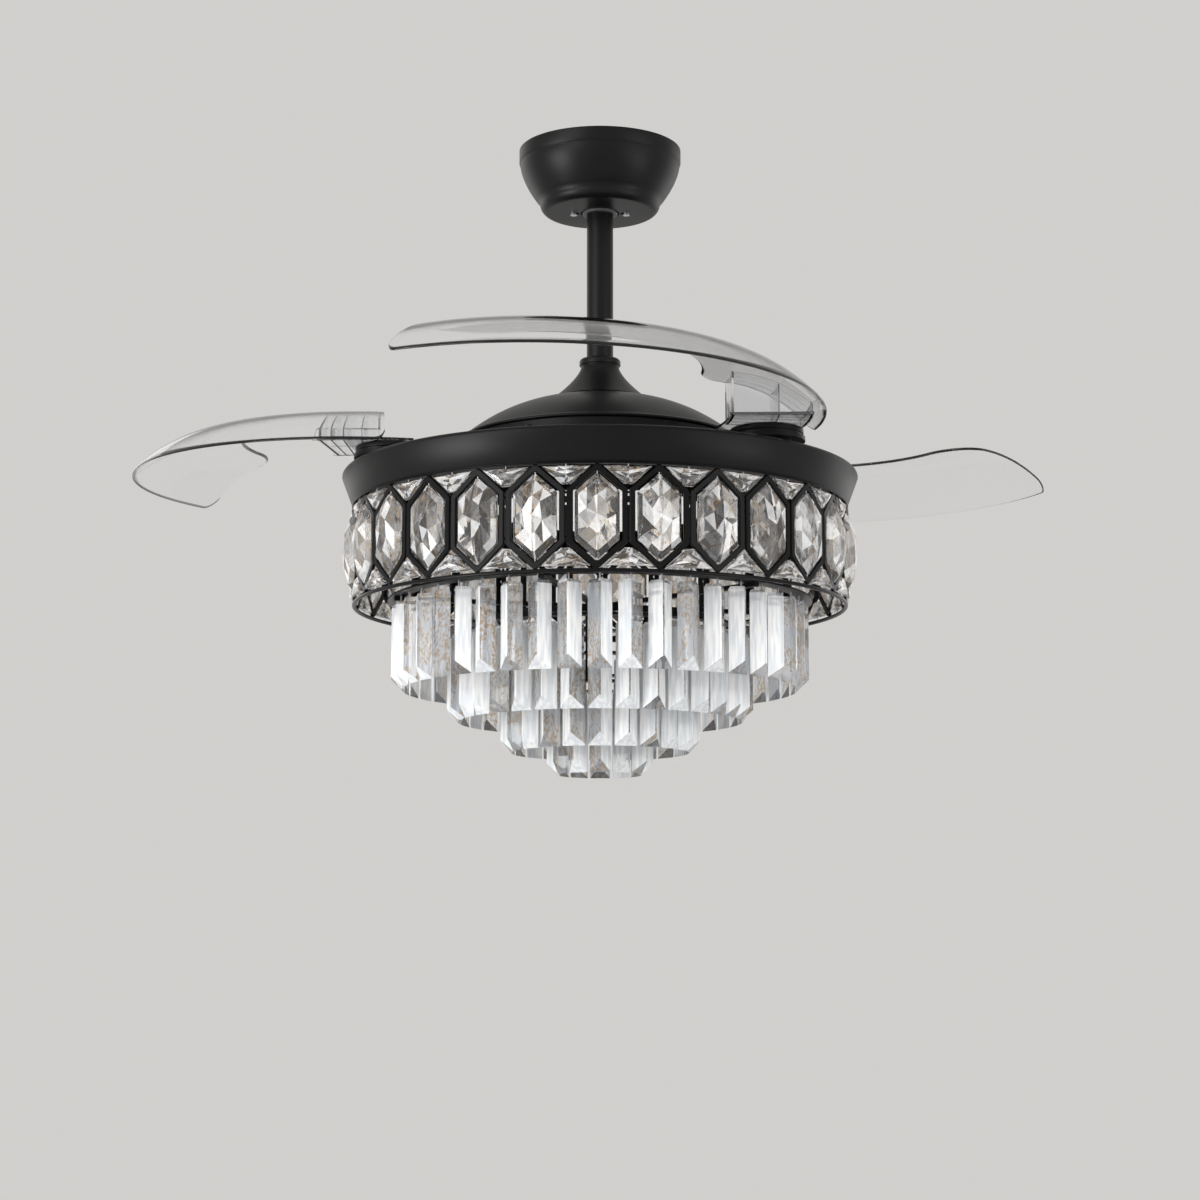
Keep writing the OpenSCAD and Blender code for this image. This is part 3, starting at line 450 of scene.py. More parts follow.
PRISMS = [cut_glass("prism_clear", 0.9, CLEAR, PRISM_REFLECTION_TINT, 0.1, 0.54),
          cut_glass("prism_painted_highlight", 0.45, PAINTED_HIGHLIGHT_TONE, PRISM_REFLECTION_TINT, 0.1, 0.75),
          cut_glass("prism_painted_shade", 0.85, PAINTED_SHADE_BLUE, PRISM_REFLECTION_TINT, 0.1, 0.52)]
ACRYLIC = clear_plastic("clear_acrylic", (0.985, 0.988, 0.993), 0.01)
# Painted shade: a darker tint on one long edge of each clear blade, standing in for how a thick
# clear edge bends light.
EDGE_SHADES = [clear_plastic(f"acrylic_edge_painted_shade_{k + 1}", (tone, tone * 1.03, tone * 1.1), 0.10)
         for k, tone in enumerate((0.13, 0.42, 0.13))]      # one for each blade's long edge

SLOT_MATERIAL = {
    "black_metal": BLACK,
    "black_aluminium": BLACK,
    "steel": STEEL,
    "spring_steel": metal("spring_steel", (0.42, 0.42, 0.44), 0.35, (1, 1, 60)),
    "ball_plastic": plastic("ball_plastic", (0.035, 0.035, 0.038), 0.45),
    "housing_plastic": plastic("housing_plastic", (0.72, 0.72, 0.70), 0.5),
    "lamination": stacked_sheets(),
    "copper": wound_copper(),
    "motor_metal": metal("motor_metal", (0.42, 0.42, 0.44), 0.48, (1, 1, 1)),
    "magnet": plastic("magnet", (0.06, 0.06, 0.065), 0.6, 500.0),
    "board": plastic("board", (0.82, 0.82, 0.79), 0.4),
    "opal": opal_cover(),
    "crystal": CRYSTAL,
    "clear_acrylic": ACRYLIC,
}

for part in frame["record"]["subparts"]:
    solid = frame["nodes"][part["node"]]
    solid.data.materials.clear()
    solid.data.materials.append(SLOT_MATERIAL[part["material_slot"]])


def stand_for(piece, *nodes, slot):
    """Hides the nodes that a piece stands for. The piece and `slot`, its finish, are not used."""
    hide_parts(*nodes)


def facet_finishes(piece, shares):
    """Gives each facet one of the piece's finishes, by shares. The choice looks random but is
    fixed: the fractional part of a large multiple of the sine of the facet's number."""
    step, spread = 12.9898, 43758.5453
    pick = np.abs(np.sin(np.arange(len(piece.data.polygons)) * step) * spread) % 1
    piece.data.polygons.foreach_set(
        "material_index", np.searchsorted(np.cumsum(shares)[:-1], pick).astype(np.int32))
    piece.data.update()


# ---------------------------------------------------------------- canopy, rod, bell and dome


def punched(piece, centres, radius, z0, z1):
    """Cuts upright round holes through a piece: a Boolean with plain cylinders, kept as mesh."""
    n = 24
    a = np.arange(n) * 2 * math.pi / n
    drills = [np.concatenate([np.c_[x + radius * np.cos(a), y + radius * np.sin(a), np.full(n, z)]
                              for z in (z0, z1)]) for x, y in centres]
    verts, faces = joined([(drill, tube_faces(2, n)) for drill in drills])
    mesh = bpy.data.meshes.new("hole_cutter")
    mesh.from_pydata(verts.tolist(), [], [list(map(int, f)) for f in faces])
    cutter = bpy.data.objects.new("hole_cutter", mesh)
    bpy.context.scene.collection.objects.link(cutter)
    cut = piece.modifiers.new("holes", "BOOLEAN")
    cut.object, cut.operation, cut.solver = cutter, "DIFFERENCE", "EXACT"
    seen = piece.evaluated_get(bpy.context.evaluated_depsgraph_get())
    holed = bpy.data.meshes.new_from_object(seen)
    piece.modifiers.clear()
    piece.data = holed
    holed.set_sharp_from_angle(angle=math.radians(40))
    bpy.data.objects.remove(cutter)
    bpy.data.meshes.remove(mesh)


def canopy():
    """Pressed bowl: straight rim, a curve that narrows with the 1.6th power of the depth, a
    small step and a quarter ellipse to the flat underside. The wall turns in at the hole, and
    the wide ends of the screws' keyholes are cut through beside it."""
    r, h = high("canopy")[0], -low("canopy")[2]
    rim_h, hole_r, keyhole_x, keyhole_r = 14 * MM, 19 * MM, 22.6 * MM, 2.6 * MM
    base_r, foot_w, foot_h = 51 * MM, 8.5 * MM, 9.8 * MM
    step_in, step_h = 3.5 * MM, 4 * MM
    r0, r1, z1 = r - MM, base_r + foot_w + step_in, -h + foot_h + step_h
    t = np.linspace(0, 1, 24)
    curve = np.stack([r0 - (r0 - r1) * t ** 1.6, -rim_h + (z1 + rim_h) * t], -1)
    a = np.radians(np.linspace(0, 90, 14))
    foot = np.stack([base_r + foot_w * np.cos(a), -h + foot_h * (1 - np.sin(a))], -1)
    outer = np.concatenate([[[r, 0], [r, -rim_h + 1.6 * MM], [r - 0.4 * MM, -rim_h + MM]],
                            curve, foot, [[hole_r, -h]]])
    inner = outer[::-1] + np.array([[-SHEET, SHEET]]) * (outer[::-1][:, 1:] < -rim_h)
    inner[:, 0] = np.where(inner[:, 1] > -rim_h, r - SHEET, inner[:, 0])
    inner[0] = [hole_r, -h + SHEET]
    bowl = lathe("canopy_bowl", np.concatenate([outer, inner]), BLACK, "root", sharp=40)
    punched(bowl, [(-keyhole_x, 0), (keyhole_x, 0)], keyhole_r, -h - MM, -h + 2 * SHEET)
    stand_for(bowl, "canopy", slot="black_metal")


def rod_and_collars():
    """The tube of the downrod, the lipped collar on the bell and the soft ring in the canopy."""
    rod_r, rod_wall = high("downrod")[0], 1.5 * MM
    z0, z1 = low("downrod")[2], high("downrod")[2]
    tube = eased_rectangle(rod_r - rod_wall, rod_r, z0, z1, 0.3 * MM)
    rod = lathe("downrod_tube", tube, BLACK, "root", turns=96)
    stand_for(rod, "downrod", slot="black_metal")
    z0, z1, r = low("bell_collar")[2], high("bell_collar")[2], high("bell_collar")[0]
    collar = lathe("bell_collar_ring", filleted(
        [(rod_r + ROD_FIT, z0), (NECK_R, z0), (NECK_R, z0 + 1.6 * MM), (r, z0 + 1.6 * MM),
         (r, z1 - 2 * MM), (r - 1.6 * MM, z1), (rod_r + ROD_FIT, z1)], 0.7 * MM), BLACK,
        "root", turns=96)
    stand_for(collar, "bell_collar", slot="black_metal")
    z0, z1 = low("canopy_ring")[2], high("canopy_ring")[2]
    r = high("canopy_ring")[0]
    trim = lathe("canopy_trim", filleted(
        [(rod_r + ROD_FIT, z0), (r - MM, z0), (r, z0 + MM), (r, z1),
         (rod_r + ROD_FIT, z1)], 0.4 * MM), SLOT_MATERIAL["ball_plastic"], "root", turns=96)
    stand_for(trim, "canopy_ring", slot="ball_plastic")


def bell():
    """Hollow bell: its radius grows with the 1.45th power of the depth below the neck."""
    top, foot, r1 = high("bell_cover")[2], low("bell_cover")[2], high("bell_cover")[0]
    rod_r = high("downrod")[0]
    t = np.linspace(0, 1, 40)
    outer = np.stack([NECK_R + (r1 - NECK_R) * t ** 1.45, top - (top - foot) * t], -1)
    inner = outer[::-1] - [SHEET, 0]
    inner[:, 1] = np.minimum(inner[:, 1], top - SHEET)
    outline = np.concatenate([[[rod_r + ROD_FIT, top]], outer, inner,
                              [[rod_r + ROD_FIT, top - SHEET]]])
    stand_for(lathe("bell_shell", outline, BLACK, "root", turns=128), "bell_cover",
              slot="black_metal")


def dome():
    """Spun dome: its height falls with the 2.6th power of the radius, to a rolled step ring and
    a straight skirt that stands on the blade carrier."""
    r_edge, rise, hole, power = 135 * MM, 43 * MM, 20.5 * MM, 2.6
    bead_r, bead_out, bead_drop, step = 1.6 * MM, 1.4 * MM, 2 * MM, 4 * MM
    apex = high("dome_cover")[2] + rise * (hole / r_edge) ** power
    r = np.linspace(hole, r_edge, 60)
    outer = np.stack([r, apex - rise * (r / r_edge) ** power], -1)
    edge = outer[-1, 1]
    a = np.radians(np.linspace(80, -80, 9))
    bead = np.stack([r_edge + bead_out + bead_r * np.cos(a),
                     edge - bead_drop + bead_r * np.sin(a)], -1)
    skirt = np.array([[r_edge, edge - step], [r_edge, CARRIER_TOP],
                      [r_edge - SHEET, CARRIER_TOP]])
    inner = outer[::-1] - [0, SHEET]
    inner[:, 0] = np.minimum(inner[:, 0], r_edge - SHEET)
    stand_for(lathe("dome_shell", np.concatenate([outer, bead, skirt, inner]), BLACK, "rotor",
                    turns=200, sharp=40), "dome_cover", slot="black_aluminium")


# ---------------------------------------------------------------- drum and lattice


def drum():
    """Tapered band with a rounded top shoulder, an inward lip above and a hem below."""
    r_top, z_top, z_foot = DRUM_R, high("drum_band")[2], low("drum_band")[2]
    taper, lip, shoulder, hem, sheet = 10 * MM, 14 * MM, 4 * MM, 3 * MM, 2 * MM
    r_foot, lip_in = r_top - taper, r_top - lip
    a = np.radians(np.linspace(90, 0, 10))
    round_top = np.stack([r_top - shoulder + shoulder * np.cos(a),
                          z_top - shoulder + shoulder * np.sin(a)], -1)
    outline = np.concatenate([
        [[lip_in, z_top]], round_top,
        [[r_foot, z_foot + 0.5 * MM], [r_foot - 0.5 * MM, z_foot], [r_foot - hem, z_foot],
         [r_foot - hem, z_foot + sheet], [r_foot - SHEET, z_foot + sheet],
         [r_top - SHEET, z_top - shoulder], [r_top - shoulder, z_top - sheet],
         [lip_in, z_top - sheet]]])
    stand_for(lathe("drum_shell", outline, BLACK, "root", turns=240, sharp=40), "drum_band",
              slot="black_metal")


def lattice_rings():
    """The doubled ring below the drum's band and the wire ring at the lattice's foot."""
    z0, z1, r = low("lattice_top_ring")[2], high("lattice_top_ring")[2], LATTICE_R
    ring = lathe("lattice_top_hoop", filleted(
        [(r - 3.4 * MM, z0), (r + 3.2 * MM, z0), (r + 3.2 * MM, z0 + 0.9 * MM),
         (r + 2.2 * MM, z0 + 1.1 * MM), (r + 3.4 * MM, z0 + 1.4 * MM), (r + 3.4 * MM, z1),
         (r - 3.4 * MM, z1)], 0.25 * MM), LATTICE_BLACK, "root", turns=216)
    stand_for(ring, "lattice_top_ring", slot="black_metal")
    z0, z1 = low("lattice_bottom_ring")[2], high("lattice_bottom_ring")[2]
    a = np.linspace(0, 2 * math.pi, 12, endpoint=False)
    half = (z1 - z0) / 2
    wire = np.stack([r + half * np.cos(a), (z0 + z1) / 2 + half * np.sin(a)], -1)
    stand_for(lathe("lattice_foot_wire", wire, LATTICE_BLACK, "root", turns=216, sharp=60),
              "lattice_bottom_ring", slot="black_metal")


def hex_outline(top, half):
    """Eight points of a tall hexagon whose two tips are cut to short flats, counter-clockwise
    from the lower right, as (across, up)."""
    cut, side = top - FLAT_HALF * HEX_SLOPE, top - half * HEX_SLOPE
    return np.array([(FLAT_HALF, -cut), (half, -side), (half, side), (FLAT_HALF, cut),
                     (-FLAT_HALF, cut), (-half, side), (-half, -side), (-FLAT_HALF, -cut)])


def box_mesh(lo, hi):
    """The eight corners and six outward faces of a box."""
    pts = np.array([[(lo, hi)[i][0], (lo, hi)[j][1], (lo, hi)[k][2]]
                    for i in (0, 1) for j in (0, 1) for k in (0, 1)])
    faces = [(0, 1, 3, 2), (4, 6, 7, 5), (0, 4, 5, 1), (2, 3, 7, 6), (0, 2, 6, 4), (1, 5, 7, 3)]
    return pts, faces


def hex_frames():
    """Flat strips bent to tall hexagons: a section with eased edges carried round each outline,
    and short bridges between neighbours that leave small gaps of light."""
    ease = 0.6 * MM
    outer = hex_outline(HEX_TOP, FRAME_HALF)
    inner = hex_outline(HEX_TOP - STRIP_TOP, FRAME_HALF - STRIP_W)
    back, front = -STRIP_T / 2, STRIP_T / 2 + 0.2 * MM
    e = ease / STRIP_W
    section = [(0, back), (1, back), (1, front - ease), (1 - e, front), (e, front),
               (0, front - ease)]
    rings = [np.c_[np.full(8, LATTICE_R + d), outer * (1 - k) + inner * k] for k, d in section]
    pts = np.stack(rings, 1).reshape(-1, 3) + [0, 0, LATTICE_MID]
    faces = [tuple(f) for f in grid_quads(8, len(section), True, True)]
    parts = [ring_of(pts, faces, HEX_N, HEX_AZ)]
    for z0, z1 in ((-22.0, -19.5), (-17.0, 9.5), (12.0, 17.5), (20.0, 22.0)):
        bridge = box_mesh((LATTICE_R - MM, -0.9 * MM, LATTICE_MID + z0 * MM),
                          (LATTICE_R + 1.6 * MM, 0.9 * MM, LATTICE_MID + z1 * MM))
        parts.append(ring_of(*bridge, HEX_N, HEX_AZ + HEX_PITCH / 2))
    piece = new_piece("hexagon_strips", *joined(parts), LATTICE_BLACK, "root", smooth=False)
    stand_for(piece, "hex_lattice", slot="black_metal")


# ---------------------------------------------------------------- crystals


def between(outline, count):
    """The outline with `count` even points on each of its sides."""
    nxt = np.roll(outline, -1, 0)
    t = np.arange(count)[None, :, None] / count
    return (outline[:, None] * (1 - t) + nxt[:, None] * t).reshape(-1, 2)


def stone(outline, rim, front, back):
    """A brilliant-cut stone from an outline of (across, up). Rings of points shrink towards the
    middle: rim, bevel, a ring of half as many points turned half a step, and the centre."""
    n = len(outline)
    ring = np.concatenate([np.zeros((n, 1)), outline], 1)

    def layer(scale, depth, turn=False):
        pts = ring.copy()
        if turn:
            pts = (ring[0::2] + ring[1::2]) / 2
        pts = pts * [1, scale, scale]
        pts[:, 0] = depth
        return pts

    half = n // 2
    pts = np.concatenate([layer(1, -rim / 2), layer(1, rim / 2),
                          layer(0.84, rim / 2 + front * 0.42), layer(0.84, -rim / 2 - back * 0.42),
                          layer(0.46, rim / 2 + front * 0.86, True),
                          layer(0.46, -rim / 2 - back * 0.86, True),
                          [[rim / 2 + front, 0, 0], [-rim / 2 - back, 0, 0]]])
    a, b, c, d, e, g = 0, n, 2 * n, 3 * n, 4 * n, 4 * n + half
    tip_f, tip_b = 4 * n + 2 * half, 4 * n + 2 * half + 1
    faces = []
    for i in range(n):
        j = (i + 1) % n
        faces += [(a + i, a + j, b + j, b + i), (b + i, b + j, c + j, c + i),
                  (d + i, d + j, a + j, a + i)]
    for k in range(half):
        i, j, m = 2 * k, 2 * k + 1, (2 * k + 2) % n
        k2 = (k + 1) % half
        faces += [(c + i, c + j, e + k), (c + j, c + m, e + k2), (c + j, e + k2, e + k),
                  (e + k, e + k2, tip_f),
                  (d + j, d + i, g + k), (d + m, d + j, g + k2), (g + k2, d + j, g + k),
                  (g + k2, g + k, tip_b)]
    return pts, faces


def crystals():
    """The tall stones in the hexagons and the small ones between them."""
    top = HEX_TOP - STRIP_TOP - CRYSTAL_GAP
    half = FRAME_HALF - STRIP_W - CRYSTAL_GAP
    pts, faces = stone(between(hex_outline(top, half), 2), RIM, BULGE, BULGE * 0.15)
    pts = pts + [LATTICE_R, 0, LATTICE_MID]
    piece = new_piece("tall_crystals", *ring_of(pts, faces, HEX_N, HEX_AZ), CRYSTALS, "root",
                      smooth=False)
    # each facet is clear, painted highlight or painted shade, by the shares
    facet_finishes(piece, CRYSTAL_SHARES)
    stand_for(piece, "hex_crystals", slot="crystal")
    inset, h, side_gap, bulge = 2 * MM, 16 * MM, 3.5 * MM, BULGE * 0.29
    wide = PITCH_W / 2 - inset / HEX_SLOPE - side_gap
    narrow = PITCH_W / 2 - (inset + h) / HEX_SLOPE - side_gap
    parts = []
    for up in (1, -1):
        y = h / 2 * up
        corners = counter_clockwise(np.array([(wide, y), (narrow, -y), (-narrow, -y), (-wide, y)]))
        pts, faces = stone(between(corners, 3), RIM, bulge, bulge)
        pts = pts + [LATTICE_R, 0, LATTICE_MID + up * (HEX_H / 2 - inset - h / 2)]
        parts.append(ring_of(pts, faces, HEX_N, HEX_AZ + HEX_PITCH / 2))
    piece = new_piece("small_cut_crystals", *joined(parts), CRYSTALS, "root", smooth=False)
    # each facet is clear, painted highlight or painted shade, by the shares
    facet_finishes(piece, CRYSTAL_SHARES)
    stand_for(piece, "small_crystals", slot="crystal")


def prisms():
    """Hanging prisms: a triangle with eased edges and its ridge outwards, drawn down to a
    plane that slopes from the back edge up to the ridge, and tapered a little at the top."""
    ease, gap, shoulder_h = 1.1 * MM, 0.4 * MM, 3 * MM
    shoulder_share, crown_share = 0.999, 0.8
    for i, (r, n) in enumerate(zip(TIER_R, TIER_N)):
        node = f"tier_prisms_{i + 1}"
        top, foot = high(node)[2], low(node)[2]
        half = min(PRISM_W / 2, (r - PRISM_D) * math.tan(math.pi / n) - gap)
        outline = counter_clockwise(filleted(
            [(r - PRISM_D, -half), (r, 0), (r - PRISM_D, half)], ease, 2))
        depth = (outline[:, 0] - (r - PRISM_D)) / PRISM_D
        middle, m = outline.mean(0), len(outline)
        shoulder = (outline - middle) * shoulder_share + middle
        crown = (outline - middle) * crown_share + middle
        pts = np.concatenate([
            np.c_[outline, foot + PRISM_CUT * depth],
            np.c_[shoulder, np.full(m, top - shoulder_h)],
            np.c_[crown, np.full(m, top)]])
        ring = ring_of(pts, tube_faces(3, m), n, -math.pi / 2)
        piece = new_piece(f"prisms_{i + 1}", *ring, PRISMS, "root", smooth=False)
        # each facet is clear, painted highlight or painted shade, by the shares
        facet_finishes(piece, PRISM_SHARES[i])
        stand_for(piece, node, slot="crystal")


# ---------------------------------------------------------------- blades


def blade_height(r):
    """The blade's upper face at radius r: flat at its inner edge, falling with the 2.8th power."""
    t = np.clip((r - BLADE_IN) / (BLADE_OUT - BLADE_IN), 0, 1)
    return BLADE_EDGE + BLADE_CROWN * (1 - t ** BLADE_BOW)


def leaned(p):
    """Leans the blade about the radius through its middle, at the height of its outer edge, so
    that it climbs to its tip."""
    lift = np.array([0, 0, BLADE_EDGE])
    q = turned(p - lift, BLADE_MID)
    c, s = math.cos(-BLADE_TILT), math.sin(-BLADE_TILT)
    q = np.stack([q[..., 0], q[..., 1] * c - q[..., 2] * s, q[..., 1] * s + q[..., 2] * c], -1)
    return turned(q, -BLADE_MID) + lift


def swung(p, i):
    """Swings a folded blade's points out about hinge i."""
    q = turned(p - [HINGE_R, 0, 0], OPENED[i])
    return turned(q + [HINGE_R, 0, 0], HINGE_AZ[i])


def corner(distance, radius):
    """How far a rounded corner draws an edge in, at a distance along it from the end."""
    d = np.clip(radius - distance, 0, radius)
    return radius - np.sqrt(radius ** 2 - d ** 2)


def blade_rows():
    """Where the rows of a blade's grid lie, from 0 at its root to 1 at its tip: closer at both
    ends, for the corners."""
    root, tip = 0.06, 0.84
    return np.r_[np.linspace(0, root, 12, endpoint=False),
                 np.linspace(root, tip, 60, endpoint=False),
                 tip + (1 - tip) * np.sin(np.linspace(0, math.pi / 2, 40))]


def blade(i):
    """A shell between an inner and an outer arc, with rounded corners, the largest at the tip's
    inner corner, and a rolled edge all round. One long edge has painted shade, a darker tint that
    stands in for how a thick clear edge bends light: the inner one on the rear blade, the outer
    one on the others."""
    a = BLADE_START + BLADE_ARC * blade_rows()
    root_d, tip_d = (a - BLADE_START) * ALONG_R, (BLADE_START + BLADE_ARC - a) * ALONG_R
    r_out = BLADE_OUT - corner(root_d * OUTER_LEN, 10 * MM) - corner(tip_d * OUTER_LEN, 13 * MM)
    r_in = BLADE_IN + corner(root_d * INNER_LEN, 26 * MM) + corner(tip_d * INNER_LEN, 42 * MM)
    rolled = 0.009
    roll = rolled * np.array([0.0, 0.35, 1.0])
    across = np.r_[roll, np.linspace(rolled, 1 - rolled, 36)[1:-1], 1 - roll[::-1]]
    thin = np.ones(len(across))
    thin[:2], thin[-2:] = (0.35, 0.8), (0.8, 0.35)
    r = r_in[:, None] + (r_out - r_in)[:, None] * across
    z = blade_height(r)
    ang = -a[:, None] + 0 * r
    plan = np.stack([r * np.cos(ang), r * np.sin(ang)], -1)
    inset = BLADE_T * (1 - thin) / 2
    top = np.concatenate([plan, (z - inset)[..., None]], -1)
    under = np.concatenate([plan, (z - BLADE_T + inset)[..., None]], -1)
    rows, cols = r.shape
    verts = swung(leaned(np.concatenate([top.reshape(-1, 3), under.reshape(-1, 3)])), i)
    k = rows * cols
    up = grid_quads(rows, cols)
    down = up[:, ::-1] + k
    rim = np.r_[np.arange(cols), np.arange(1, rows) * cols + cols - 1,
                (rows - 1) * cols + np.arange(cols - 2, -1, -1), np.arange(rows - 2, 0, -1) * cols]
    nxt = np.roll(rim, -1)
    edge = np.stack([nxt, rim, rim + k, nxt + k], -1)
    faces = np.concatenate([up, down, edge])
    piece = new_piece(f"blade_shell_{i + 1}", verts, faces, [ACRYLIC, EDGE_SHADES[i]], BLADE_BODY[i],
                      sharp=60)
    inner_edge = BLADE_BODY[i] == "rear_blade"
    # the faces along that long edge get the painted edge shade
    painted_edge_shade = np.zeros((rows - 1, cols - 1), bool)
    painted_edge_shade[:, slice(0, 2) if inner_edge else slice(-2, None)] = True
    index = np.zeros(len(faces), int)
    index[:2 * len(up)] = np.tile(painted_edge_shade.reshape(-1), 2)
    index[2 * len(up):] = rim % cols == (0 if inner_edge else cols - 1)
    piece.data.polygons.foreach_set("material_index", index)
    orient_outwards(piece)
    stand_for(piece, f"blade_{i + 1}", slot="clear_acrylic")


def upright(path, width, floor, tall=1.0):
    """A wall along a path of (radius, angle) points, from `floor` up to the blade's underside or
    to the height `tall`, whichever is less."""
    path = np.asarray(path, float)
    r, a = path[:, 0], path[:, 1]
    centre = np.stack([r * np.cos(-a), r * np.sin(-a)], -1)
    step = np.gradient(centre, axis=0)
    normal = np.stack([-step[:, 1], step[:, 0]], -1) / np.linalg.norm(step, axis=1)[:, None]
    pts = []
    for side in (-1, 1):
        xy = centre + side * normal * width / 2
        top = np.c_[xy, blade_height(np.linalg.norm(xy, axis=1)) - BLADE_T - UNDER_BLADE]
        top = leaned(top)
        top[:, 2] = np.minimum(top[:, 2], floor + tall)
        base = np.c_[top[:, :2], np.full(len(xy), floor)]
        pts += [base, top]
    verts = np.stack([pts[0], pts[1], pts[3], pts[2]], 1).reshape(-1, 3)
    return verts, tube_faces(len(path), 4)


def blade_bracket(i):
    """Clear ribbed box between the hinge disc and the blade: walls round it, ribs across and
    along it, short stubs on its two arched walls, a wedge at each end of them and a floor plate
    with a tongue."""
    floor = DISC_TOP
    r0, r1 = 165 * MM, 238 * MM
    a0, a1, tongue = np.radians([3, 17, 7.5])
    wedge_foot, wedge_head, arch_inset = 0.026, 0.004, 0.02
    wall, thin, lip, plate_t = 2 * MM, 1.2 * MM, 1.2 * MM, 2.5 * MM
    stub_w, stub_out, stub_h = 2.6 * MM, 0.9 * MM, 17 * MM

    def arc(r, b0, b1):
        return [(r, a) for a in np.linspace(b0, b1, 14)]

    def rib(share, s0, s1):
        return [(r, a0 + share * (a1 - a0)) for r in np.linspace(s0, s1, 10)]

    e = wall / 2
    turn = e / HINGE_R / (a1 - a0)
    parts = [upright(path, wall, floor) for path in (
        arc(r0 + e, a0, a1), arc(r1 - e, a0, a1), rib(turn, r0 + e, r1 - e),
        rib(1 - turn, r0 + e, r1 - e))]
    parts += [upright(rib(k, r0 + wall, r1 - wall), thin, floor) for k in (0.3, 0.6, 0.8)]
    arch = arc((r0 + r1) / 2 + 6 * MM, a0 + arch_inset, a1 - arch_inset)
    parts.append(upright(arch, thin, floor))
    parts += [upright(rib(k, s0, s1), stub_w, floor, stub_h) for k in (0.24, 0.5, 0.76)
              for s0, s1 in ((r0 - stub_out, r0 + e), (r1 - e, r1 + stub_out))]
    for r in (r0 + e, r1 - e):
        under = blade_height(r) - BLADE_T - MM
        wedge = np.array([[q, a, z] for q in (r - e, r + e) for a, z in (
            (a1, floor), (a1 + wedge_foot, floor), (a1 + wedge_head, under), (a1, under))])
        wedge = np.stack([wedge[:, 0] * np.cos(wedge[:, 1]), -wedge[:, 0] * np.sin(wedge[:, 1]),
                          wedge[:, 2]], -1)
        parts.append((wedge, [(0, 1, 2, 3), (7, 6, 5, 4)] + [
            (j, j + 4, (j + 1) % 4 + 4, (j + 1) % 4) for j in range(4)]))
    b = np.linspace(a0 - tongue, a1 + lip / HINGE_R, 22)
    section = ((r0 - lip, floor), (r1 + lip, floor), (r1 + lip, floor + plate_t),
               (r0 - lip, floor + plate_t))
    plate = np.stack([np.c_[r * np.cos(-b), r * np.sin(-b), np.full(len(b), z)]
                      for r, z in section], 1).reshape(-1, 3)
    parts.append((plate, tube_faces(len(b), 4)))
    verts, faces = joined(parts)
    piece = new_piece(f"blade_root_box_{i + 1}", swung(verts, i), faces, ACRYLIC, BLADE_BODY[i],
                      smooth=False)
    orient_outwards(piece)
    stand_for(piece, f"blade_bracket_{i + 1}", slot="clear_acrylic")


def hinge_disc(i):
    """The black disc under a blade's root, with a stepped edge and a bore for its pin."""
    lo, hi = low(f"hinge_disc_{i + 1}"), high(f"hinge_disc_{i + 1}")
    centre, r = (lo + hi)[:2] / 2, (hi - lo)[0] / 2
    bore, step = 4.1 * MM, 1.2 * MM
    outline = filleted([(bore, lo[2]), (r - step, lo[2]), (r - step, lo[2] + 2 * MM),
                        (r, lo[2] + 2.6 * MM), (r, hi[2] - step), (r - 1.5 * MM, hi[2]),
                        (bore, hi[2])], 0.5 * MM)
    piece = lathe(f"hinge_plate_{i + 1}", outline, BLACK, BLADE_BODY[i], centre=centre, turns=96)
    stand_for(piece, f"hinge_disc_{i + 1}", slot="black_aluminium")


# ---------------------------------------------------------------- tiers and lamp


def tier_hoops():
    """Flat rings with eased edges that carry the prisms."""
    for i, r in enumerate(TIER_R):
        z0, z1 = low(f"tier_ring_{i + 1}")[2], high(f"tier_ring_{i + 1}")[2]
        section = eased_rectangle(r - 12 * MM, r + 3 * MM, z0, z1, 0.6 * MM)
        piece = lathe(f"tier_hoop_{i + 1}", section, LATTICE_BLACK, "root", turns=144)
        stand_for(piece, f"tier_ring_{i + 1}", slot="black_metal")


def diffuser():
    """Shallow opal dish: an upright rim, a quarter-ellipse edge and a flat middle."""
    top, foot, r = high("lamp_diffuser")[2], low("lamp_diffuser")[2], high("lamp_diffuser")[0]
    flat, rim_h, wall, tiny = 0.35, 4 * MM, 2 * MM, 0.2 * MM
    a = np.radians(np.linspace(0, 90, 16))
    curve = np.stack([r * flat + r * (1 - flat) * np.cos(a),
                      top - rim_h - (top - foot - rim_h) * np.sin(a)], -1)
    outline = np.concatenate([[[r, top]], curve, [[tiny, foot], [tiny, foot + wall]],
                              (curve + [-wall, wall])[::-1], [[r - wall, top]]])
    stand_for(lathe("opal_dish", outline, SLOT_MATERIAL["opal"], "root", turns=120, sharp=50),
              "lamp_diffuser", slot="opal")


canopy()
rod_and_collars()
bell()
dome()
drum()
lattice_rings()
hex_frames()
crystals()
prisms()
for k in range(3):
    blade(k)
    blade_bracket(k)
    hinge_disc(k)
tier_hoops()
diffuser()

# ---------------------------------------------------------------- stage, lights and camera

BACKGROUND = (0.636, 0.626, 0.612, 1)
ROOM_LIGHT = 2.2
FLOOR_Z, FLOOR_R = -1.45, 2.2
LAMPS = [                               # name, place, size in metres, power in watts
    ("key_left", (-1.7, -1.9, 0.2), 1.6, 19),
    ("fill_right", (2.0, -1.5, -0.4), 1.6, 9),
    ("low_left", (-2.2, -1.2, -0.95), 1.0, 34),
    ("low_right", (2.2, -1.1, -1.3), 1.0, 7),
    ("back_left", (-1.6, 1.8, 0.1), 1.4, 5),
    ("back_right", (1.7, 1.7, -0.2), 1.4, 5)]
LAMP_TARGET = (0, 0, -0.38)             # the middle of the drum


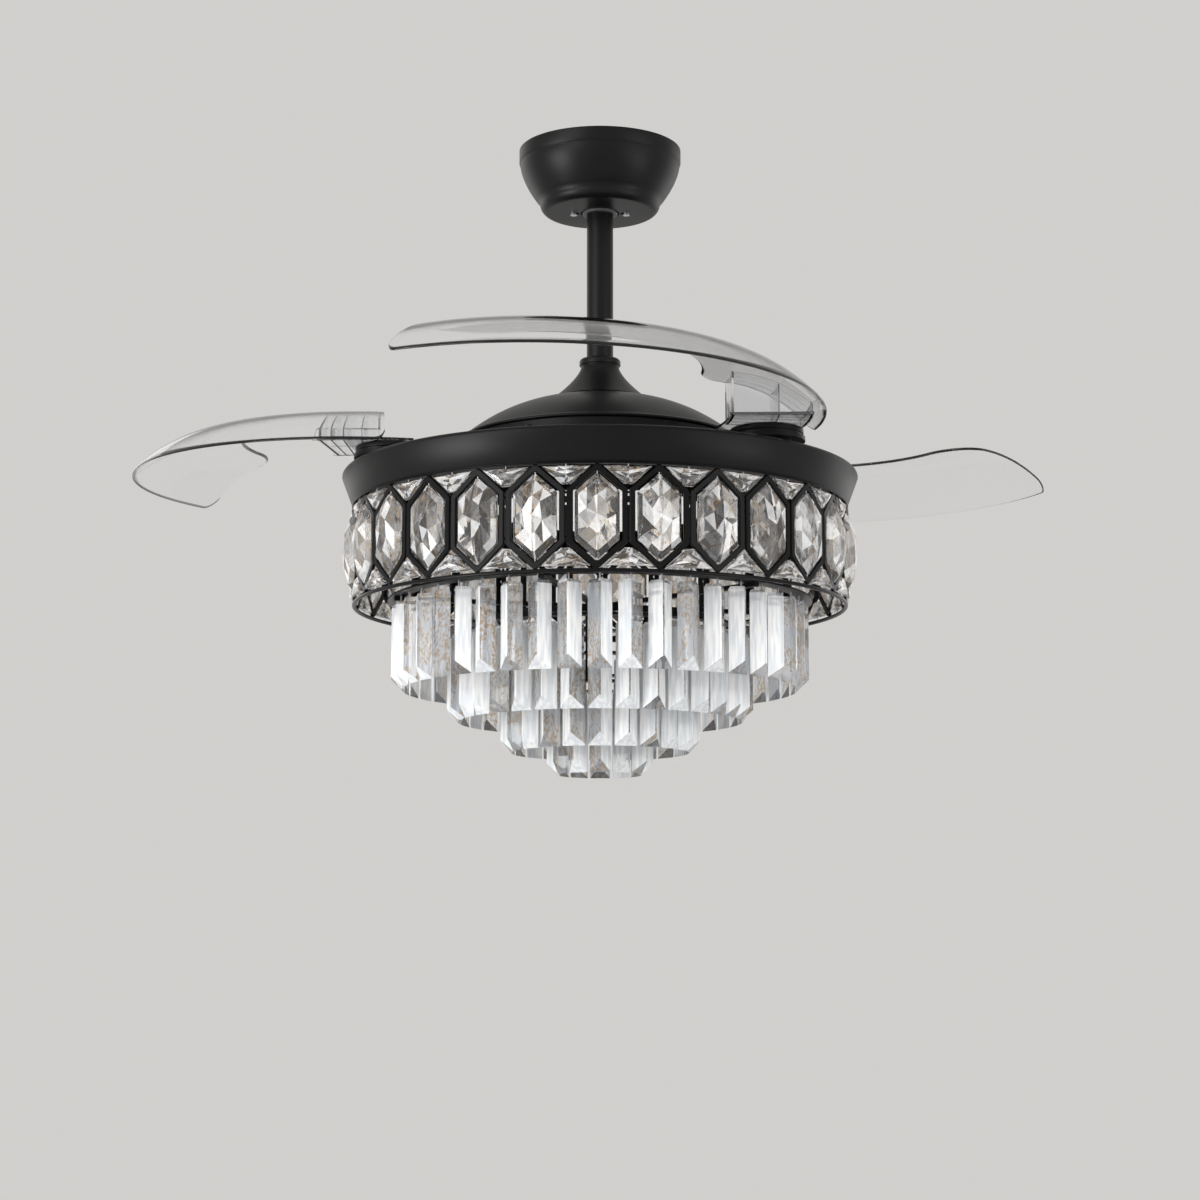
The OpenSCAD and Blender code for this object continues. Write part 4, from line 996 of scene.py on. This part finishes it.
def floor():
    """A round floor well below the fan, pale in this strong light."""
    s = nodes_of("floor_paint")
    tone = s.mix(s.noise(3.0), grey(0.25), grey(0.24))
    a = np.linspace(0, 2 * math.pi, 96, endpoint=False)
    rim = np.stack([FLOOR_R * np.cos(a), FLOOR_R * np.sin(a), np.full(96, FLOOR_Z)], -1)
    mesh = bpy.data.meshes.new("floor")
    mesh.from_pydata(rim.tolist(), [], [list(range(96))])
    mesh.materials.append(s.finish(s.principled(Base_Color=tone, Roughness=0.9)))
    piece = bpy.data.objects.new("floor", mesh)
    bpy.context.scene.collection.objects.link(piece)


def world():
    """The background that the camera, gloss and glass see, and a softer light for the rest."""
    s = Shade(bpy.data.worlds.new("studio"), "ShaderNodeOutputWorld")
    camera_ray, gloss, glass = (s.node("ShaderNodeLightPath", out=ray) for ray in (
        "Is Camera Ray", "Is Glossy Ray", "Is Transmission Ray"))
    shown = camera_ray.math("MAXIMUM", gloss).math("MAXIMUM", glass)
    seen = s.node("ShaderNodeBackground", {}, {"Color": BACKGROUND})
    lit = s.node("ShaderNodeBackground", {}, {"Color": (1, 1, 1, 1), "Strength": ROOM_LIGHT})
    bpy.context.scene.world = s.finish(s.node("ShaderNodeMixShader", {}, [shown, lit, seen]))


def lamp(name, place, size, power):
    """A square lamp that looks along its -Z axis at the drum, unseen through glass."""
    light = bpy.data.lights.new(name, "AREA")
    light.shape, light.size, light.energy = "SQUARE", size, power
    obj = bpy.data.objects.new(name, light)
    bpy.context.scene.collection.objects.link(obj)
    obj.location = place
    obj.visible_transmission = False
    obj.rotation_euler = (Vector(LAMP_TARGET) - obj.location).to_track_quat("-Z", "Y").to_euler()


def camera():
    """The photograph's viewpoint: 2.4 m away and 0.8 m below the ceiling, looking up 8.4
    degrees, with the field of view of a short telephoto lens."""
    data = bpy.data.cameras.new("camera")
    data.sensor_width, data.lens = 36.0, 75.32
    obj = bpy.data.objects.new("camera", data)
    bpy.context.scene.collection.objects.link(obj)
    obj.location = (0, -2.404, -0.8048)
    obj.rotation_euler = (math.radians(98.402), 0, 0)
    bpy.context.scene.camera = obj


floor()
world()
for each in LAMPS:
    lamp(*each)
camera()

view = bpy.context.scene.view_settings
view.view_transform = "Standard"
